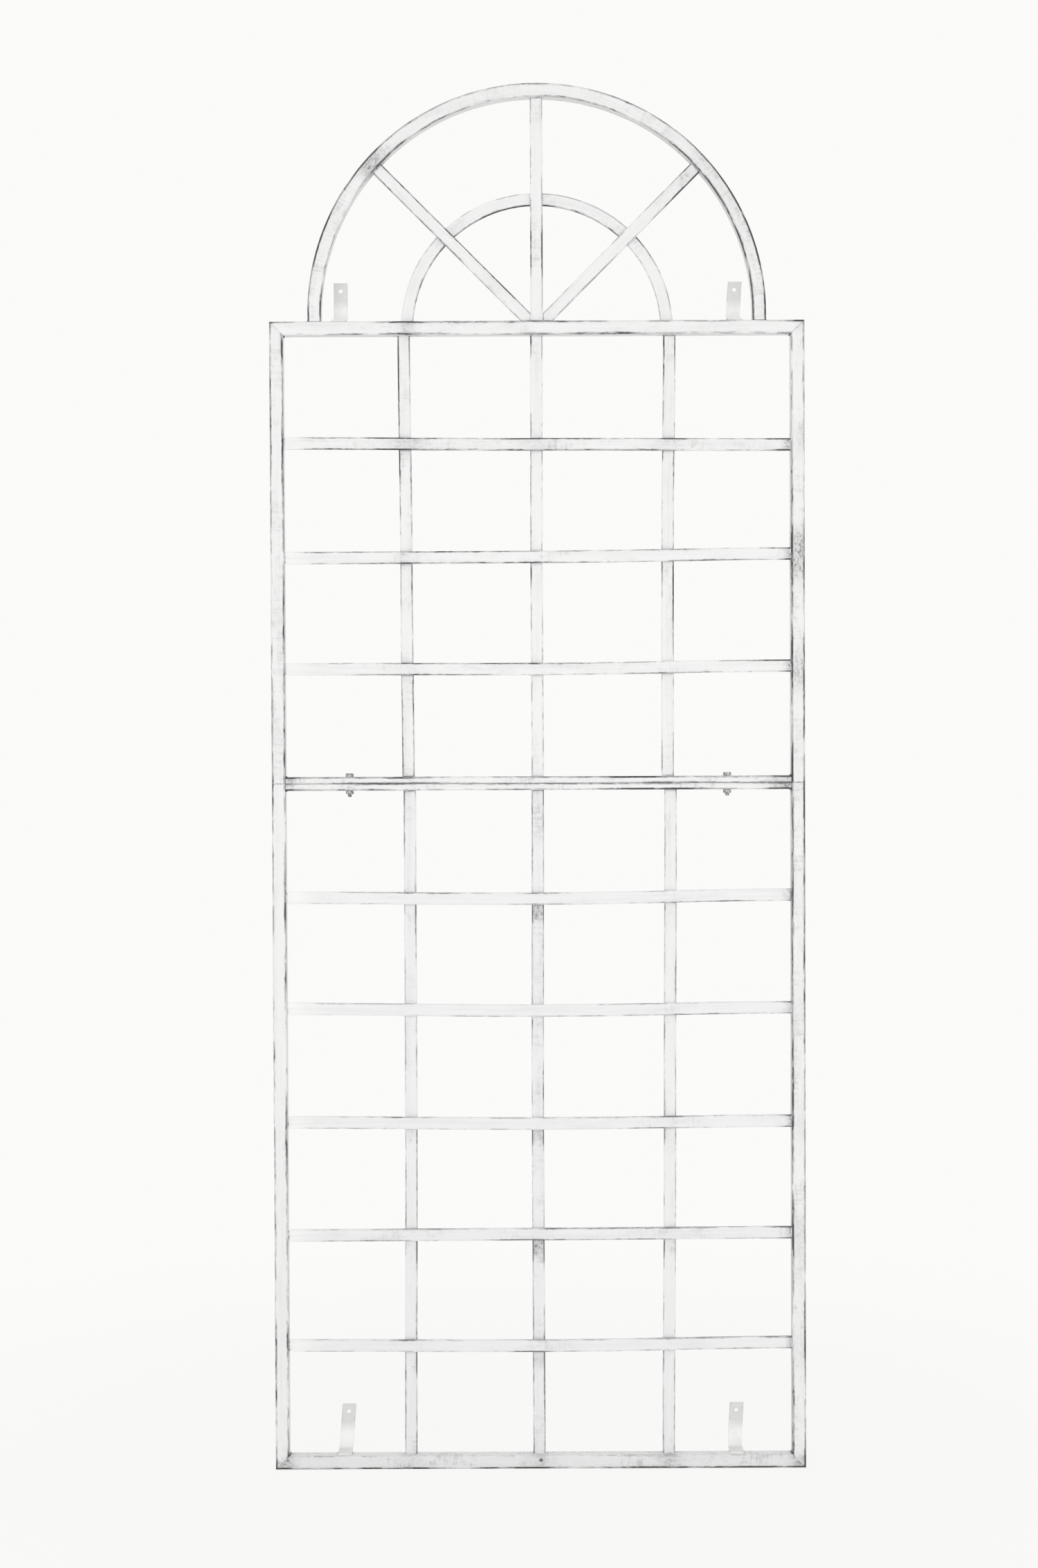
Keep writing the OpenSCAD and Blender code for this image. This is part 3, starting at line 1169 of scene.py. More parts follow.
@dataclass
class SectionFrame:
    """The tube frame of one section: two stiles, a mitred rail and a meeting rail.

    Attributes:
        section: The upper or the lower section.
        look: How its pieces have worn.
        tube: Stock of the stiles and the mitred rail.
        low_tube: Stock of the meeting rail.
        seam: Gap left at a mitre.
        bolt_hole: Diameter of the holes for the joint bolts.
        dent: Radius of the dent in the bottom rail, under the middle upright.
        dent_depth: Depth of that dent.
        dent_drop: How far below the rail's top it lies.
        shelter: Share of the rubbing that reaches the edges of the joint.
        mitre_rub: How exposed the edges of a mitre are to rubbing.
        dent_rub: How rubbed the floor of the dent is.
        joint_scuff: How scuffed a stile is at the joint.
        meeting_base: How scuffed the meeting rail is all along.
        meeting_scuff: How scuffed it is at the uprights and the bolts.
        meeting_ends: How scuffed its left and its right end are, and how far.
    """

    section: Section
    look: SectionLook
    tube: Stock
    low_tube: Stock
    seam: float = 0.01 * MM
    bolt_hole: float = 6.6 * MM
    dent: float = 2.5 * MM
    dent_depth: float = 0.7 * MM
    dent_drop: float = 7 * MM
    shelter: float = 0.35
    mitre_rub: float = 0.1
    dent_rub: float = 0.4
    joint_scuff: float = 0.4
    meeting_base: float = 0.3
    meeting_scuff: float = 0.5
    meeting_ends: tuple[tuple[float, float], ...] = ((1.2, 25 * MM), (1.7, 35 * MM))

    def build(self, shop: Workshop) -> None:
        """Makes the four tubes of the frame and their welds.

        Args:
            shop: The workshop that finishes the pieces.
        """
        for side in Side:
            self.stile(shop, side)
        self.mitred_rail(shop)
        self.meeting_rail(shop)
        self.welds().build(shop)

    def mitre(self, side: Side, stile: bool) -> Cut:
        """The saw cut at a corner.

        Args:
            side: The corner's side.
            stile: True for the stile's end, False for the rail's.

        Returns:
            The cut.
        """
        low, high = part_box(self.section.rail)
        up = self.section.value
        corner = Vector((high.x if side is Side.RIGHT else low.x, 0.0, high.z if up > 0 else low.z))
        way = Vector((-side.value, 0.0, up)).normalized() * (1 if stile else -1)
        return Cut(corner - way * self.seam, way, self.mitre_rub)

    def stile(self, shop: Workshop, side: Side) -> None:
        """Makes the stile of one side.

        Args:
            shop: The workshop that finishes the pieces.
            side: The side.
        """
        node = f"{self.section.word}_{side.word}_stile"
        low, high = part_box(node)
        foot = moved((low + high) / 2, z=low.z)
        piece = self.tube.length(f"{node}_tube", high.z - low.z)
        Bench.carry(piece, Matrix.Translation(foot))
        cut = self.mitre(side, stile=True)
        Bench.trim(piece, cut.place, cut.way, self.tube.band)
        shop.weather(piece)
        up = self.section.value
        joint = Cut(moved(foot, z=low.z if up > 0 else high.z), -Z * up, self.shelter)
        right = side is Side.RIGHT
        look = self.look.stiles[right]
        places = [moved(foot, z=centre_of(bar).z) for bar in self.section.bars("cross_bar")]
        contacts = [Contact(*mark) for mark in zip(places, look.scuffs, strict=True)]
        contacts.append(Contact(joint.place, self.joint_scuff))
        contacts.append(Contact(cut.place, self.look.corners[right], self.tube.across))
        wear = self.tube.wear(piece, Straight(foot, Z), contacts, [cut, joint], look.base)
        shop.paint(piece, wear, FRAME_PAINT, node)

    def lying(self, stock: Stock, node: str) -> tuple[Piece, Vector]:
        """Lays a length of tube along X in a rail's place.

        Args:
            stock: The tube.
            node: The rail.

        Returns:
            The piece and its left end.
        """
        low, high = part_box(node)
        end = moved((low + high) / 2, x=low.x)
        piece = stock.length(f"{node}_tube", high.x - low.x)
        Bench.carry(piece, Matrix.Translation(end) @ Matrix.Rotation(math.pi / 2, 4, "Y"))
        return piece, end

    def mitred_rail(self, shop: Workshop) -> None:
        """Makes the rail that closes the section.

        Args:
            shop: The workshop that finishes the pieces.
        """
        piece, end = self.lying(self.tube, self.section.rail)
        cuts = [self.mitre(side, stile=False) for side in Side]
        for cut in cuts:
            Bench.trim(piece, cut.place, cut.way, self.tube.band)
        uprights = [moved(end, x=centre_of(node).x) for node in self.section.bars("upright")]
        low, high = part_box(self.section.rail)
        dent = moved(uprights[len(uprights) // 2], y=low.y, z=high.z - self.dent_drop)
        dented = self.section is Section.LOWER
        if dented:
            Bench.drill(piece, dent, Y, 2 * self.dent, 2 * self.dent_depth)
        shop.weather(piece)
        places = uprights + [cut.place for cut in cuts]
        marks = zip(places, self.look.rail_scuffs + self.look.corners, strict=True)
        contacts = [Contact(*mark, self.tube.across) for mark in marks]
        wear = self.tube.wear(piece, Straight(end, X), contacts, cuts, self.look.rail_base)
        # On the bottom rail the lower edges also carry painted shade along the floor.
        wear.rub[:] *= np.where(points_of(piece)[:, 2] > end.z, *self.look.rail_edges)
        if dented:
            offset = points_of(piece) - np.array(dent)
            near = np.linalg.norm(offset, axis=1) < self.dent + self.dent_depth
            floor = near & (offset[:, 1] > self.dent_depth / 2) & (offset[:, 1] < self.tube.wall)
            wear.rub[floor] = self.dent_rub
        shop.paint(piece, wear, self.look.rail, self.section.rail)

    def meeting_rail(self, shop: Workshop) -> None:
        """Makes the low rail at the joint, drilled for the bolts.

        Args:
            shop: The workshop that finishes the pieces.
        """
        piece, end = self.lying(self.low_tube, self.section.meeting_rail)
        bolts = [f"{side.word}_joint_bolt" for side in Side]
        for bolt in bolts:
            hole = moved(end, x=centre_of(bolt).x, y=centre_of(bolt).y)
            Bench.drill(piece, hole, Z, self.bolt_hole, 2 * self.low_tube.across)
        shop.weather(piece)
        touching = self.section.bars("upright") + bolts
        contacts = [Contact(moved(end, x=centre_of(node).x), self.meeting_scuff) for node in touching]
        ends = zip((end, moved(end, x=-end.x)), self.meeting_ends)
        contacts += [Contact(place, scuff, reach) for place, (scuff, reach) in ends]
        wear = self.low_tube.wear(piece, Straight(end, X), contacts, base=self.meeting_base)
        sheltered = (points_of(piece)[:, 2] - end.z) * self.section.value < 0
        wear.rub[sheltered] *= self.shelter
        shop.paint(piece, wear, FRAME_PAINT, self.section.meeting_rail)

    def welds(self) -> WeldRuns:
        """Runs beads into the inner corners, where the rails meet the stiles.

        Returns:
            The runs, not built yet.
        """
        beads = WeldRuns(f"{self.section.word}_frame_welds", rub=0.6, scuff=1.5)
        low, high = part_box(self.section.meeting_rail)
        rail_low, rail_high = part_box(self.section.rail)
        up = self.section is Section.UPPER
        levels = (high.z, rail_low.z) if up else (low.z, rail_high.z)
        for x in (low.x, high.x):
            for level in levels:
                beads.run(Vector((x, 0.0, level)), Y, self.tube.deep)
        return beads


@dataclass
class Lattice:
    """The flat bars of one section: uprights behind, cross bars in front.

    Attributes:
        section: The upper or the lower section.
        look: How its bars have worn.
        bar: Stock of the bars.
        stain: Length of the stain on an upright, just under a crossing, which is also the painted
            shadow of the cross bar in front.
        foot_scuff: How scuffed an upright is at its lower end.
        head_scuff: How scuffed it is at its upper end, which also carries painted shade under the rail.
        left_end: How scuffed a cross bar is at its left end, below 0 so that it is painted lighter, as
            fresher paint and a painted highlight, and how far.
        right_end: How scuffed it is at its right end, which is grimy and painted with the shade beside
            the stile, and how far.
    """

    section: Section
    look: SectionLook
    bar: Stock
    stain: float = 18 * MM
    foot_scuff: float = 0.5
    head_scuff: float = 0.6
    left_end: tuple[float, float] = (-1.0, 30 * MM)
    right_end: tuple[float, float] = (1.6, 13 * MM)

    def build(self, shop: Workshop) -> None:
        """Makes the uprights, the cross bars and their welds.

        Args:
            shop: The workshop that finishes the pieces.
        """
        uprights, cross_bars = self.section.bars("upright"), self.section.bars("cross_bar")
        for node, look in zip(uprights, self.look.uprights, strict=True):
            line, end = self.line_of(node, Z)
            # Just under each crossing the upright is stained and painted with the shadow of the cross
            # bar in front, and its upper end with the shade under the rail.
            under = [moved(line.start, z=centre_of(bar).z - self.bar.across) for bar in cross_bars]
            contacts = [Contact(*mark, self.stain) for mark in zip(under, look.scuffs, strict=True)]
            contacts += [Contact(line.start, self.foot_scuff), Contact(end, self.head_scuff)]
            self.make_bar(shop, node, look, line, contacts, X)
        for node, look in zip(cross_bars, self.look.cross_bars, strict=True):
            line, end = self.line_of(node, X)
            places = [moved(line.start, x=centre_of(bar).x) for bar in uprights]
            contacts = [Contact(*mark) for mark in zip(places, look.scuffs, strict=True)]
            # The left end is painted lighter, partly a painted highlight; the right end darker, partly
            # painted shade beside the stile.
            contacts += [Contact(line.start, *self.left_end), Contact(end, *self.right_end)]
            self.make_bar(shop, node, look, line, contacts, Z)
        self.welds(uprights, cross_bars).build(shop)

    @staticmethod
    def line_of(node: str, way: Vector) -> tuple[Straight, Vector]:
        """The middle line of a bar from its first end, and its last end."""
        half = way * size_of(node).dot(way) / 2
        return Straight(centre_of(node) - half, way), centre_of(node) + half

    def make_bar(
        self,
        shop: Workshop,
        node: str,
        look: BarLook,
        line: Straight,
        contacts: Sequence[Contact],
        aside: Vector,
    ) -> None:
        """Makes one bar.

        Args:
            shop: The workshop.
            node: The bar's node.
            look: What sets it apart.
            line: Its middle line, from its first end.
            contacts: Where it meets other pieces.
            aside: The way that it stands off its place.
        """
        piece = self.bar.length(f"{node}_bar", size_of(node).dot(line.way))
        turn = Z.rotation_difference(line.way).to_matrix().to_4x4()
        Bench.carry(piece, Matrix.Translation(line.start) @ turn)
        shop.weather(piece)
        wear = self.bar.wear(piece, line, contacts, base=look.base)
        self.bow(piece, look, line.way, aside)
        shop.paint(piece, wear, self.look.bars, node)

    def bow(self, piece: Piece, look: BarLook, way: Vector, aside: Vector) -> None:
        """Moves a bar a little off its place, and its ends a little off its middle.

        Args:
            piece: The bar.
            look: How far it goes.
            way: Its direction.
            aside: The way that it moves.
        """
        along = points_of(piece) @ np.array(way)
        ends = min(along), max(along)
        with Bench.editing(piece):
            bpy.ops.transform.translate(value=aside * look.shift)
            for place, move in zip(ends, look.ends):
                Bench.pick(piece, Pick.VERTS, lambda v: abs(v.co.dot(way) - place) < self.bar.band / 2)
                Bench.pull(aside * move, (ends[1] - ends[0]) / 2, "SMOOTH")

    def welds(self, uprights: Sequence[str], cross_bars: Sequence[str]) -> WeldRuns:
        """Runs beads along the ends of the bars and behind their crossings.

        Args:
            uprights: Nodes of the uprights.
            cross_bars: Nodes of the cross bars.

        Returns:
            The beads.
        """
        beads = WeldRuns(f"{self.section.word}_lattice_welds")
        width = self.bar.across
        for bar, look in zip(cross_bars, self.look.cross_bars, strict=True):
            low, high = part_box(bar)
            level = (low.z + high.z) / 2
            for x, share in ((low.x, -1), (high.x, 1)):
                for y in (low.y, high.y):
                    beads.run(Vector((x, y, level + look.sway(share))), Z, width)
            for upright, upright_look in zip(uprights, self.look.uprights, strict=True):
                left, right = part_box(upright)
                aside = upright_look.sway((2 * level - left.z - right.z) / (right.z - left.z))
                rise = look.sway((left.x + right.x - low.x - high.x) / (high.x - low.x))
                for x in (left.x, right.x):
                    beads.run(Vector((x + aside, high.y, level + rise)), Z, width)
        for upright, look in zip(uprights, self.look.uprights, strict=True):
            low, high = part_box(upright)
            for z, share in ((low.z, -1), (high.z, 1)):
                for y in (low.y, high.y):
                    beads.run(Vector(((low.x + high.x) / 2 + look.sway(share), y, z)), X, width)
        return beads


@dataclass(frozen=True)
class Spoke:
    """A spoke of the fanlight.

    Attributes:
        node: Its node.
        slant: Its angle from upright.
        mark: Distance from the hub to its most scuffed place.
        scuff: How scuffed it is there.
        tip_scuff: How scuffed the outer arch is at its tip.
    """

    node: str
    slant: float
    mark: float
    scuff: float
    tip_scuff: float


@dataclass
class Fanlight:
    """The half-round top: a tube arch, a flat-bar arch inside it and three spokes.

    Attributes:
        tube: Stock of the outer arch.
        bar: Stock of the inner arch and the spokes.
        spoke_drop: Depth of the point that the spokes fan out from, below the top of the top rail.
        tip_stain: Length of the stain on the outer arch at a spoke's tip.
        inner_rub: Share of the rubbing that reaches the inner edges of the arches.
        outer_base: How scuffed the outer arch is all along.
        crossing_scuff: How scuffed the inner arch is at the spokes, and a spoke at its tip.
        marks: Where else the outer arch has worn: degrees from upright, how scuffed and how far.
        spokes: The spokes, from the left.
    """

    tube: Stock
    bar: Stock
    spoke_drop: float = 10 * MM
    tip_stain: float = 25 * MM
    inner_rub: float = 0.6
    outer_base: float = 0.3
    crossing_scuff: float = 0.5
    marks: tuple[tuple[float, float, float], ...] = ((-70.0, 0.5, 110 * MM), (62.0, 0.7, 130 * MM))
    spokes: tuple[Spoke, ...] = (
        Spoke("left_spoke", -math.pi / 4, 90 * MM, 1.0, 1.4),
        Spoke("centre_spoke", 0.0, 110 * MM, 0.8, 0.3),
        Spoke("right_spoke", math.pi / 4, 290 * MM, 0.6, 0.4),
    )

    def build(self, shop: Workshop) -> None:
        """Makes the arches, the spokes and their welds.

        Args:
            shop: The workshop that finishes the pieces.
        """
        self.inner_arch(shop)
        self.outer_arch(shop)
        for spoke in self.spokes:
            self.spoke(shop, spoke)
        self.welds().build(shop)

    def outer_line(self) -> tuple[Arc, float]:
        """The middle line of the outer arch, and the length of its legs.

        Returns:
            The arc, and the height of its centre above the top rail.
        """
        low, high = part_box("outer_arch")
        outer = (high.x - low.x) / 2
        centre = moved((low + high) / 2, z=high.z - outer)
        return Arc(centre, outer - self.tube.across / 2), centre.z - low.z

    def inner_line(self) -> Arc:
        """The middle line of the inner arch, whose feet stand on the top rail.

        Returns:
            The arc.
        """
        low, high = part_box("inner_arch")
        half, rise = (high.x - low.x) / 2, high.z - low.z
        outer = (half * half + rise * rise) / (2 * rise)
        return Arc(moved((low + high) / 2, z=high.z - outer), outer - self.bar.across / 2)

    def hub(self) -> Vector:
        """The point that the spokes fan out from."""
        return moved(centre_of("centre_spoke"), z=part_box("top_rail")[1].z - self.spoke_drop)

    def spoke_end(self, angle: float, arc: Arc, radius: float) -> Cut:
        """Where a spoke's middle line meets a circle.

        Args:
            angle: The spoke's slant from upright.
            arc: An arc about the circle's centre.
            radius: The circle's radius.

        Returns:
            The cut square to the circle.
        """
        hub = self.hub()
        way = Vector((math.sin(angle), 0.0, math.cos(angle)))
        offset = moved(hub - arc.centre, y=0.0)
        along = -offset.dot(way) + math.sqrt(offset.dot(way) ** 2 - offset.length_squared + radius**2)
        return Cut(hub + way * along, offset + way * along)

    def tip(self, angle: float) -> Cut:
        """The cut of a spoke's upper end, against the outer arch."""
        arc, _ = self.outer_line()
        return self.spoke_end(angle, arc, arc.radius - self.tube.across / 2)

    def outer_arch(self, shop: Workshop) -> None:
        """Makes the tube arch on its legs.

        Args:
            shop: The workshop that finishes the pieces.
        """
        arc, leg = self.outer_line()
        piece = self.tube.bend("outer_arch_tube", arc, leg)
        shop.weather(piece)
        tips = [(self.tip(spoke.slant).place, spoke.tip_scuff, self.tip_stain) for spoke in self.spokes]
        marks = [(arc.at(math.radians(angle)), *scuffed) for angle, *scuffed in self.marks]
        contacts = [Contact(*mark) for mark in tips + marks]
        wear = self.tube.wear(piece, arc, contacts, base=self.outer_base)
        wear.rub[wear.grain[:, 1] < 0] *= self.inner_rub
        shop.paint(piece, wear, FRAME_PAINT, "outer_arch")

    def inner_arch(self, shop: Workshop) -> None:
        """Makes the flat-bar arch, cut off level on the top rail.

        Args:
            shop: The workshop that finishes the pieces.
        """
        arc = self.inner_line()
        foot = Cut(moved(arc.centre, z=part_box("inner_arch")[0].z), -Z)
        piece = self.bar.bend("inner_arch_bar", arc)
        Bench.trim(piece, foot.place, foot.way, self.bar.band)
        shop.weather(piece)
        crossings = [self.spoke_end(spoke.slant, arc, arc.radius).place for spoke in self.spokes]
        contacts = [Contact(place, self.crossing_scuff) for place in crossings]
        wear = self.bar.wear(piece, arc, contacts, [foot])
        wear.rub[wear.grain[:, 1] < 0] *= self.inner_rub
        shop.paint(piece, wear, FRAME_PAINT, "inner_arch")

    def spoke(self, shop: Workshop, spoke: Spoke) -> None:
        """Makes one spoke.

        Args:
            shop: The workshop.
            spoke: The spoke.
        """
        hub, tip = self.hub(), self.tip(spoke.slant)
        line = Straight(hub, Vector((math.sin(spoke.slant), 0.0, math.cos(spoke.slant))))
        piece = self.bar.length(f"{spoke.node}_bar", (tip.place - hub).length + self.bar.across)
        Bench.carry(piece, Matrix.Translation(hub) @ Matrix.Rotation(spoke.slant, 4, "Y"))
        cuts = [tip, Cut(moved(hub, z=hub.z + self.spoke_drop), -Z)]
        if spoke.slant:
            side = X * math.copysign(1, spoke.slant)
            cuts.append(Cut(hub + side * self.bar.across / 2, -side))
        for cut in cuts:
            Bench.trim(piece, cut.place, cut.way, self.bar.band)
        shop.weather(piece)
        contacts = [Contact(hub + line.way * spoke.mark, spoke.scuff)]
        contacts.append(Contact(tip.place, self.crossing_scuff))
        shop.paint(piece, self.bar.wear(piece, line, contacts, cuts), FRAME_PAINT, spoke.node)

    def welds(self) -> WeldRuns:
        """Runs beads along the arches' feet, the spokes' ends and behind their crossings.

        Returns:
            The runs, not built yet.
        """
        beads = WeldRuns("fanlight_welds")
        width = self.bar.across
        arc, leg = self.outer_line()
        rail_top = arc.centre.z - leg
        for sign in (-1, 1):
            for reach in (-0.5, 0.5):
                foot = arc.centre + X * sign * (arc.radius + reach * self.tube.across)
                beads.run(moved(foot, z=rail_top), Y, self.tube.deep)
        low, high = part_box("inner_arch")
        for x in (low.x + self.bar.across / 2, high.x - self.bar.across / 2):
            for y in (low.y, high.y):
                beads.run(Vector((x, y, rail_top)), X, width)
        front, back = (corner.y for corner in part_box("centre_spoke"))
        inner = self.inner_line()
        for spoke in self.spokes:
            tip = self.tip(spoke.slant)
            for y in (front, back):
                beads.run(moved(tip.place, y=y), tip.way.cross(Y), width)
            for reach in (-0.5, 0.5):
                crossing = self.spoke_end(spoke.slant, inner, inner.radius + reach * self.bar.across)
                beads.run(moved(crossing.place, y=back), crossing.way.cross(Y), width)
        for y in (front, back):
            beads.run(Vector((0.0, y, rail_top)), X, len(self.spokes) * width)
        return beads


@dataclass
class WallBracket:
    """A strip bent up behind a rail, with a hole for a wall screw.

    Attributes:
        section: The section whose mitred rail it stands on.
        side: Its side.
        lean: How far its upper end stands to the right.
        thick: Thickness of the strip.
        bend: Inner radius of the bend.
        bend_steps: Number of flats that the bend is made of.
        hole: Diameter of the screw hole.
        hole_inset: Distance from the upper end to the middle of the hole.
        edge: Width of the eased edges.
        sharp: Angle past which an edge is eased.
        band: Width beside an edge that the rubbing reaches.
        fade: Height above the bend up to which the strip is painted lighter, a painted highlight where
            it faces up to the light.
        foot_fresh: Share of that highlight which the foot has.
    """

    section: Section
    side: Side
    lean: float
    thick: float = 3 * MM
    bend: float = 20 * MM
    bend_steps: int = 12
    hole: float = 6 * MM
    hole_inset: float = 11.5 * MM
    edge: float = 0.4 * MM
    sharp: float = math.pi / 3
    band: float = 1.5 * MM
    fade: float = 15 * MM
    foot_fresh: float = 0.4

    @property
    def node(self) -> str:
        """The bracket's node."""
        return f"{self.section.word}_{self.side.word}_bracket"

    def build(self, shop: Workshop) -> None:
        """Makes the bracket and its welds.

        Args:
            shop: The workshop that finishes the pieces.
        """
        low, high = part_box(self.node)
        piece = self.strip(low, high)
        middle = (low + high) / 2
        hole = Vector((middle.x, high.y - self.thick / 2, high.z - self.hole_inset))
        Bench.drill(piece, hole, Y, self.hole, 4 * self.thick)
        points = points_of(piece)
        across = points[:, 0] - middle.x
        grain = np.stack([points[:, 1] + points[:, 2], across, points[:, 1] - points[:, 2]], axis=1)
        rub = 1 - ((high.x - low.x) / 2 - np.abs(across)) / self.band
        # The bend and the lower part of the strip are painted lighter, a painted highlight where they
        # face up to the light; the foot gets only a share of it.
        above = points[:, 2] - low.z - self.thick - self.bend
        fresh = np.clip(1 - above / self.fade, 0, 1)
        fresh[points[:, 2] < low.z + self.thick + self.edge] *= self.foot_fresh
        self.slant(piece, low, high)
        shop.paint(piece, Wear(grain, rub, -fresh), BRACKET_PAINT, self.node)
        beads = WeldRuns(f"{self.node}_welds")
        rail_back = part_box(self.section.rail)[1].y
        for x in (low.x, high.x):
            beads.run(Vector((x, (low.y + rail_back) / 2, low.z)), Y, rail_back - low.y)
        beads.build(shop)

    def slant(self, piece: Piece, low: Vector, high: Vector) -> None:
        """Leans the upright part of the strip, which isn't bent dead straight.

        Args:
            piece: The strip.
            low: Lowest corner of the bracket's box.
            high: Highest corner of the bracket's box.
        """
        with Bench.editing(piece):
            Bench.pick(piece, Pick.VERTS, lambda v: v.co.z > high.z - self.edge / 2)
            Bench.pull(X * self.lean, high.z - low.z - self.thick, "LINEAR")

    def strip(self, low: Vector, high: Vector) -> Piece:
        """Bends the strip.

        Args:
            low: Lowest corner of the bracket's box.
            high: Highest corner of the bracket's box.

        Returns:
            The strip with eased edges.
        """
        bend = moved(low, x=(low.x + high.x) / 2, z=low.z + self.thick + self.bend)
        bend.y = high.y - self.thick - self.bend
        piece = Bench.start(
            f"{self.node}_strip",
            bpy.ops.mesh.primitive_cube_add,
            size=1.0,
            location=(bend.x, (low.y + bend.y) / 2, low.z + self.thick / 2),
            scale=(high.x - low.x, bend.y - low.y, self.thick),
        )
        with Bench.editing(piece):
            Bench.pick(piece, Pick.FACES, lambda face: face.normal.y > Bench.LEVEL)
            bpy.ops.mesh.spin(steps=self.bend_steps, angle=math.pi / 2, center=bend, axis=-X)
            Bench.face_out()
            Bench.pick(piece, Pick.FACES, lambda face: Bench.lies_at(face, bend.z))
            Bench.extrude(Z * (high.z - bend.z))
            Bench.pick(piece, Pick.EDGES, lambda edge: edge.calc_face_angle(0.0) > self.sharp)
            bpy.ops.mesh.bevel(offset=self.edge, segments=2, affect="EDGES")
            for x in (low.x + self.band, high.x - self.band):
                Bench.score(moved(bend, x=x), X)
            Bench.score(moved(bend, z=bend.z + self.fade), Z)
        return piece


@dataclass
class JointFastener:
    """A hexagon bolt through both meeting rails, and the nut on its end.

    Attributes:
        side: Its side.
        shank: Diameter of the bolt.
        nut_bore: Diameter of the nut's bore.
        head: Height of the bolt's head.
        pitch: Pitch of the thread.
        root: Diameter of the thread's root, as a share of the shank.
        tip: Size of the shank's end, as a share of the root of its last turn.
        shank_sides: Number of the shank's sides.
        chamfer_room: How far the round of a chamfer stays inside the flats.
        chamfer_sides: Number of the sides of that round.
    """

    side: Side
    shank: float = 6 * MM
    nut_bore: float = 6.1 * MM
    head: float = 5 * MM
    pitch: float = 1 * MM
    root: float = 0.86
    tip: float = 0.85
    shank_sides: int = 24
    chamfer_room: float = 0.15 * MM
    chamfer_sides: int = 48

    def build(self, shop: Workshop) -> None:
        """Makes the bolt, which stays with the frame, and the nut, which turns on it.

        Args:
            shop: The workshop that finishes the pieces.
        """
        bolt_node, nut_node = f"{self.side.word}_joint_bolt", f"{self.side.word}_joint_nut"
        low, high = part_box(bolt_node)
        bolt = self.hexagon(f"{bolt_node}_steel", moved(low, z=high.z - self.head), high)
        self.chamfer(bolt, moved((low + high) / 2, z=high.z), (high.y - low.y) / 2, -1)
        nut_low, nut_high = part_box(nut_node)
        Bench.combine(bolt, self.threaded_shank(low, high, nut_high.z), "UNION")
        shop.hand_over(bolt, BOLT_STEEL, FRAME_BODY, bolt_node)

        nut = self.hexagon(f"{nut_node}_steel", nut_low, nut_high)
        middle = (nut_low + nut_high) / 2
        for level, inward in ((nut_high.z, -1), (nut_low.z, 1)):
            self.chamfer(nut, moved(middle, z=level), (nut_high.y - nut_low.y) / 2, inward)
        Bench.drill(nut, middle, Z, self.nut_bore, 2 * (nut_high.z - nut_low.z))
        shop.hand_over(nut, BOLT_STEEL, f"{self.side.word}_nut", nut_node)

    @staticmethod
    def hexagon(name: str, low: Vector, high: Vector) -> Piece:
        """Makes a hexagon bar that fills a box, with corners to the left and right."""
        size, turn = high - low, (0.0, 0.0, math.pi / 2)
        return Bench.rod(name, 6, size.y / math.sqrt(3), size.z, (low + high) / 2, turn)

    def chamfer(self, piece: Piece, face: Vector, flat: float, inward: int) -> None:
        """Rounds off the six corners at one end of a hexagon.

        Args:
            piece: The hexagon.
            face: Middle of its end face.
            flat: Distance from the axis to a flat.
            inward: The sign of the way from that face into the piece.
        """
        small, height = flat - self.chamfer_room, 4 * self.head
        large = small + height * math.sqrt(3)
        cone = Bench.start(
            "chamfer_cutter",
            bpy.ops.mesh.primitive_cone_add,
            vertices=self.chamfer_sides,
            radius1=large if inward < 0 else small,
            radius2=small if inward < 0 else large,
            depth=height,
            location=face + Z * inward * height / 2,
        )
        Bench.combine(piece, cone, "INTERSECT")

    def threaded_shank(self, low: Vector, high: Vector, thread_top: float) -> Piece:
        """Makes the bolt's shank with a thread at its end.

        Args:
            low: Lowest corner of the bolt's box.
            high: Highest corner of the bolt's box.
            thread_top: Level where the thread starts.

        Returns:
            The shank.
        """
        top = high.z - self.head / 2
        middle = moved((low + high) / 2, z=(top + thread_top) / 2)
        piece = Bench.rod("bolt_shank", self.shank_sides, self.shank / 2, top - thread_top, middle)
        turns = int((thread_top - low.z) / self.pitch)
        half_turn = (thread_top - low.z) / (2 * turns)
        with Bench.editing(piece):
            Bench.pick(piece, Pick.FACES, lambda face: Bench.lies_at(face, thread_top))
            for turn in range(turns):
                for size in (self.root, 1 / self.root if turn < turns - 1 else self.tip):
                    Bench.extrude(-Z * half_turn)
                    bpy.ops.transform.resize(value=(size, size, 1.0), center_override=middle)
        return piece


@dataclass(frozen=True)
class Lamp:
    """A soft square lamp.

    Attributes:
        name: Name of the lamp.
        place: Where it hangs.
        power: Its power in watts.
        side: Its side.
    """

    name: str
    place: tuple[float, float, float]
    power: float
    side: float = 2.4

    def hang(self) -> None:
        """Hangs the lamp so that it looks at the middle of the object."""
        low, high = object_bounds()
        bpy.ops.object.select_all(action="DESELECT")
        bpy.ops.object.light_add(type="AREA", location=self.place)
        lamp = bpy.context.object
        lamp.name = self.name
        lamp.data.size = self.side
        lamp.data.energy = self.power
        way = (low + high) / 2 - Vector(self.place)
        lamp.rotation_euler = way.to_track_quat("-Z", "Y").to_euler()


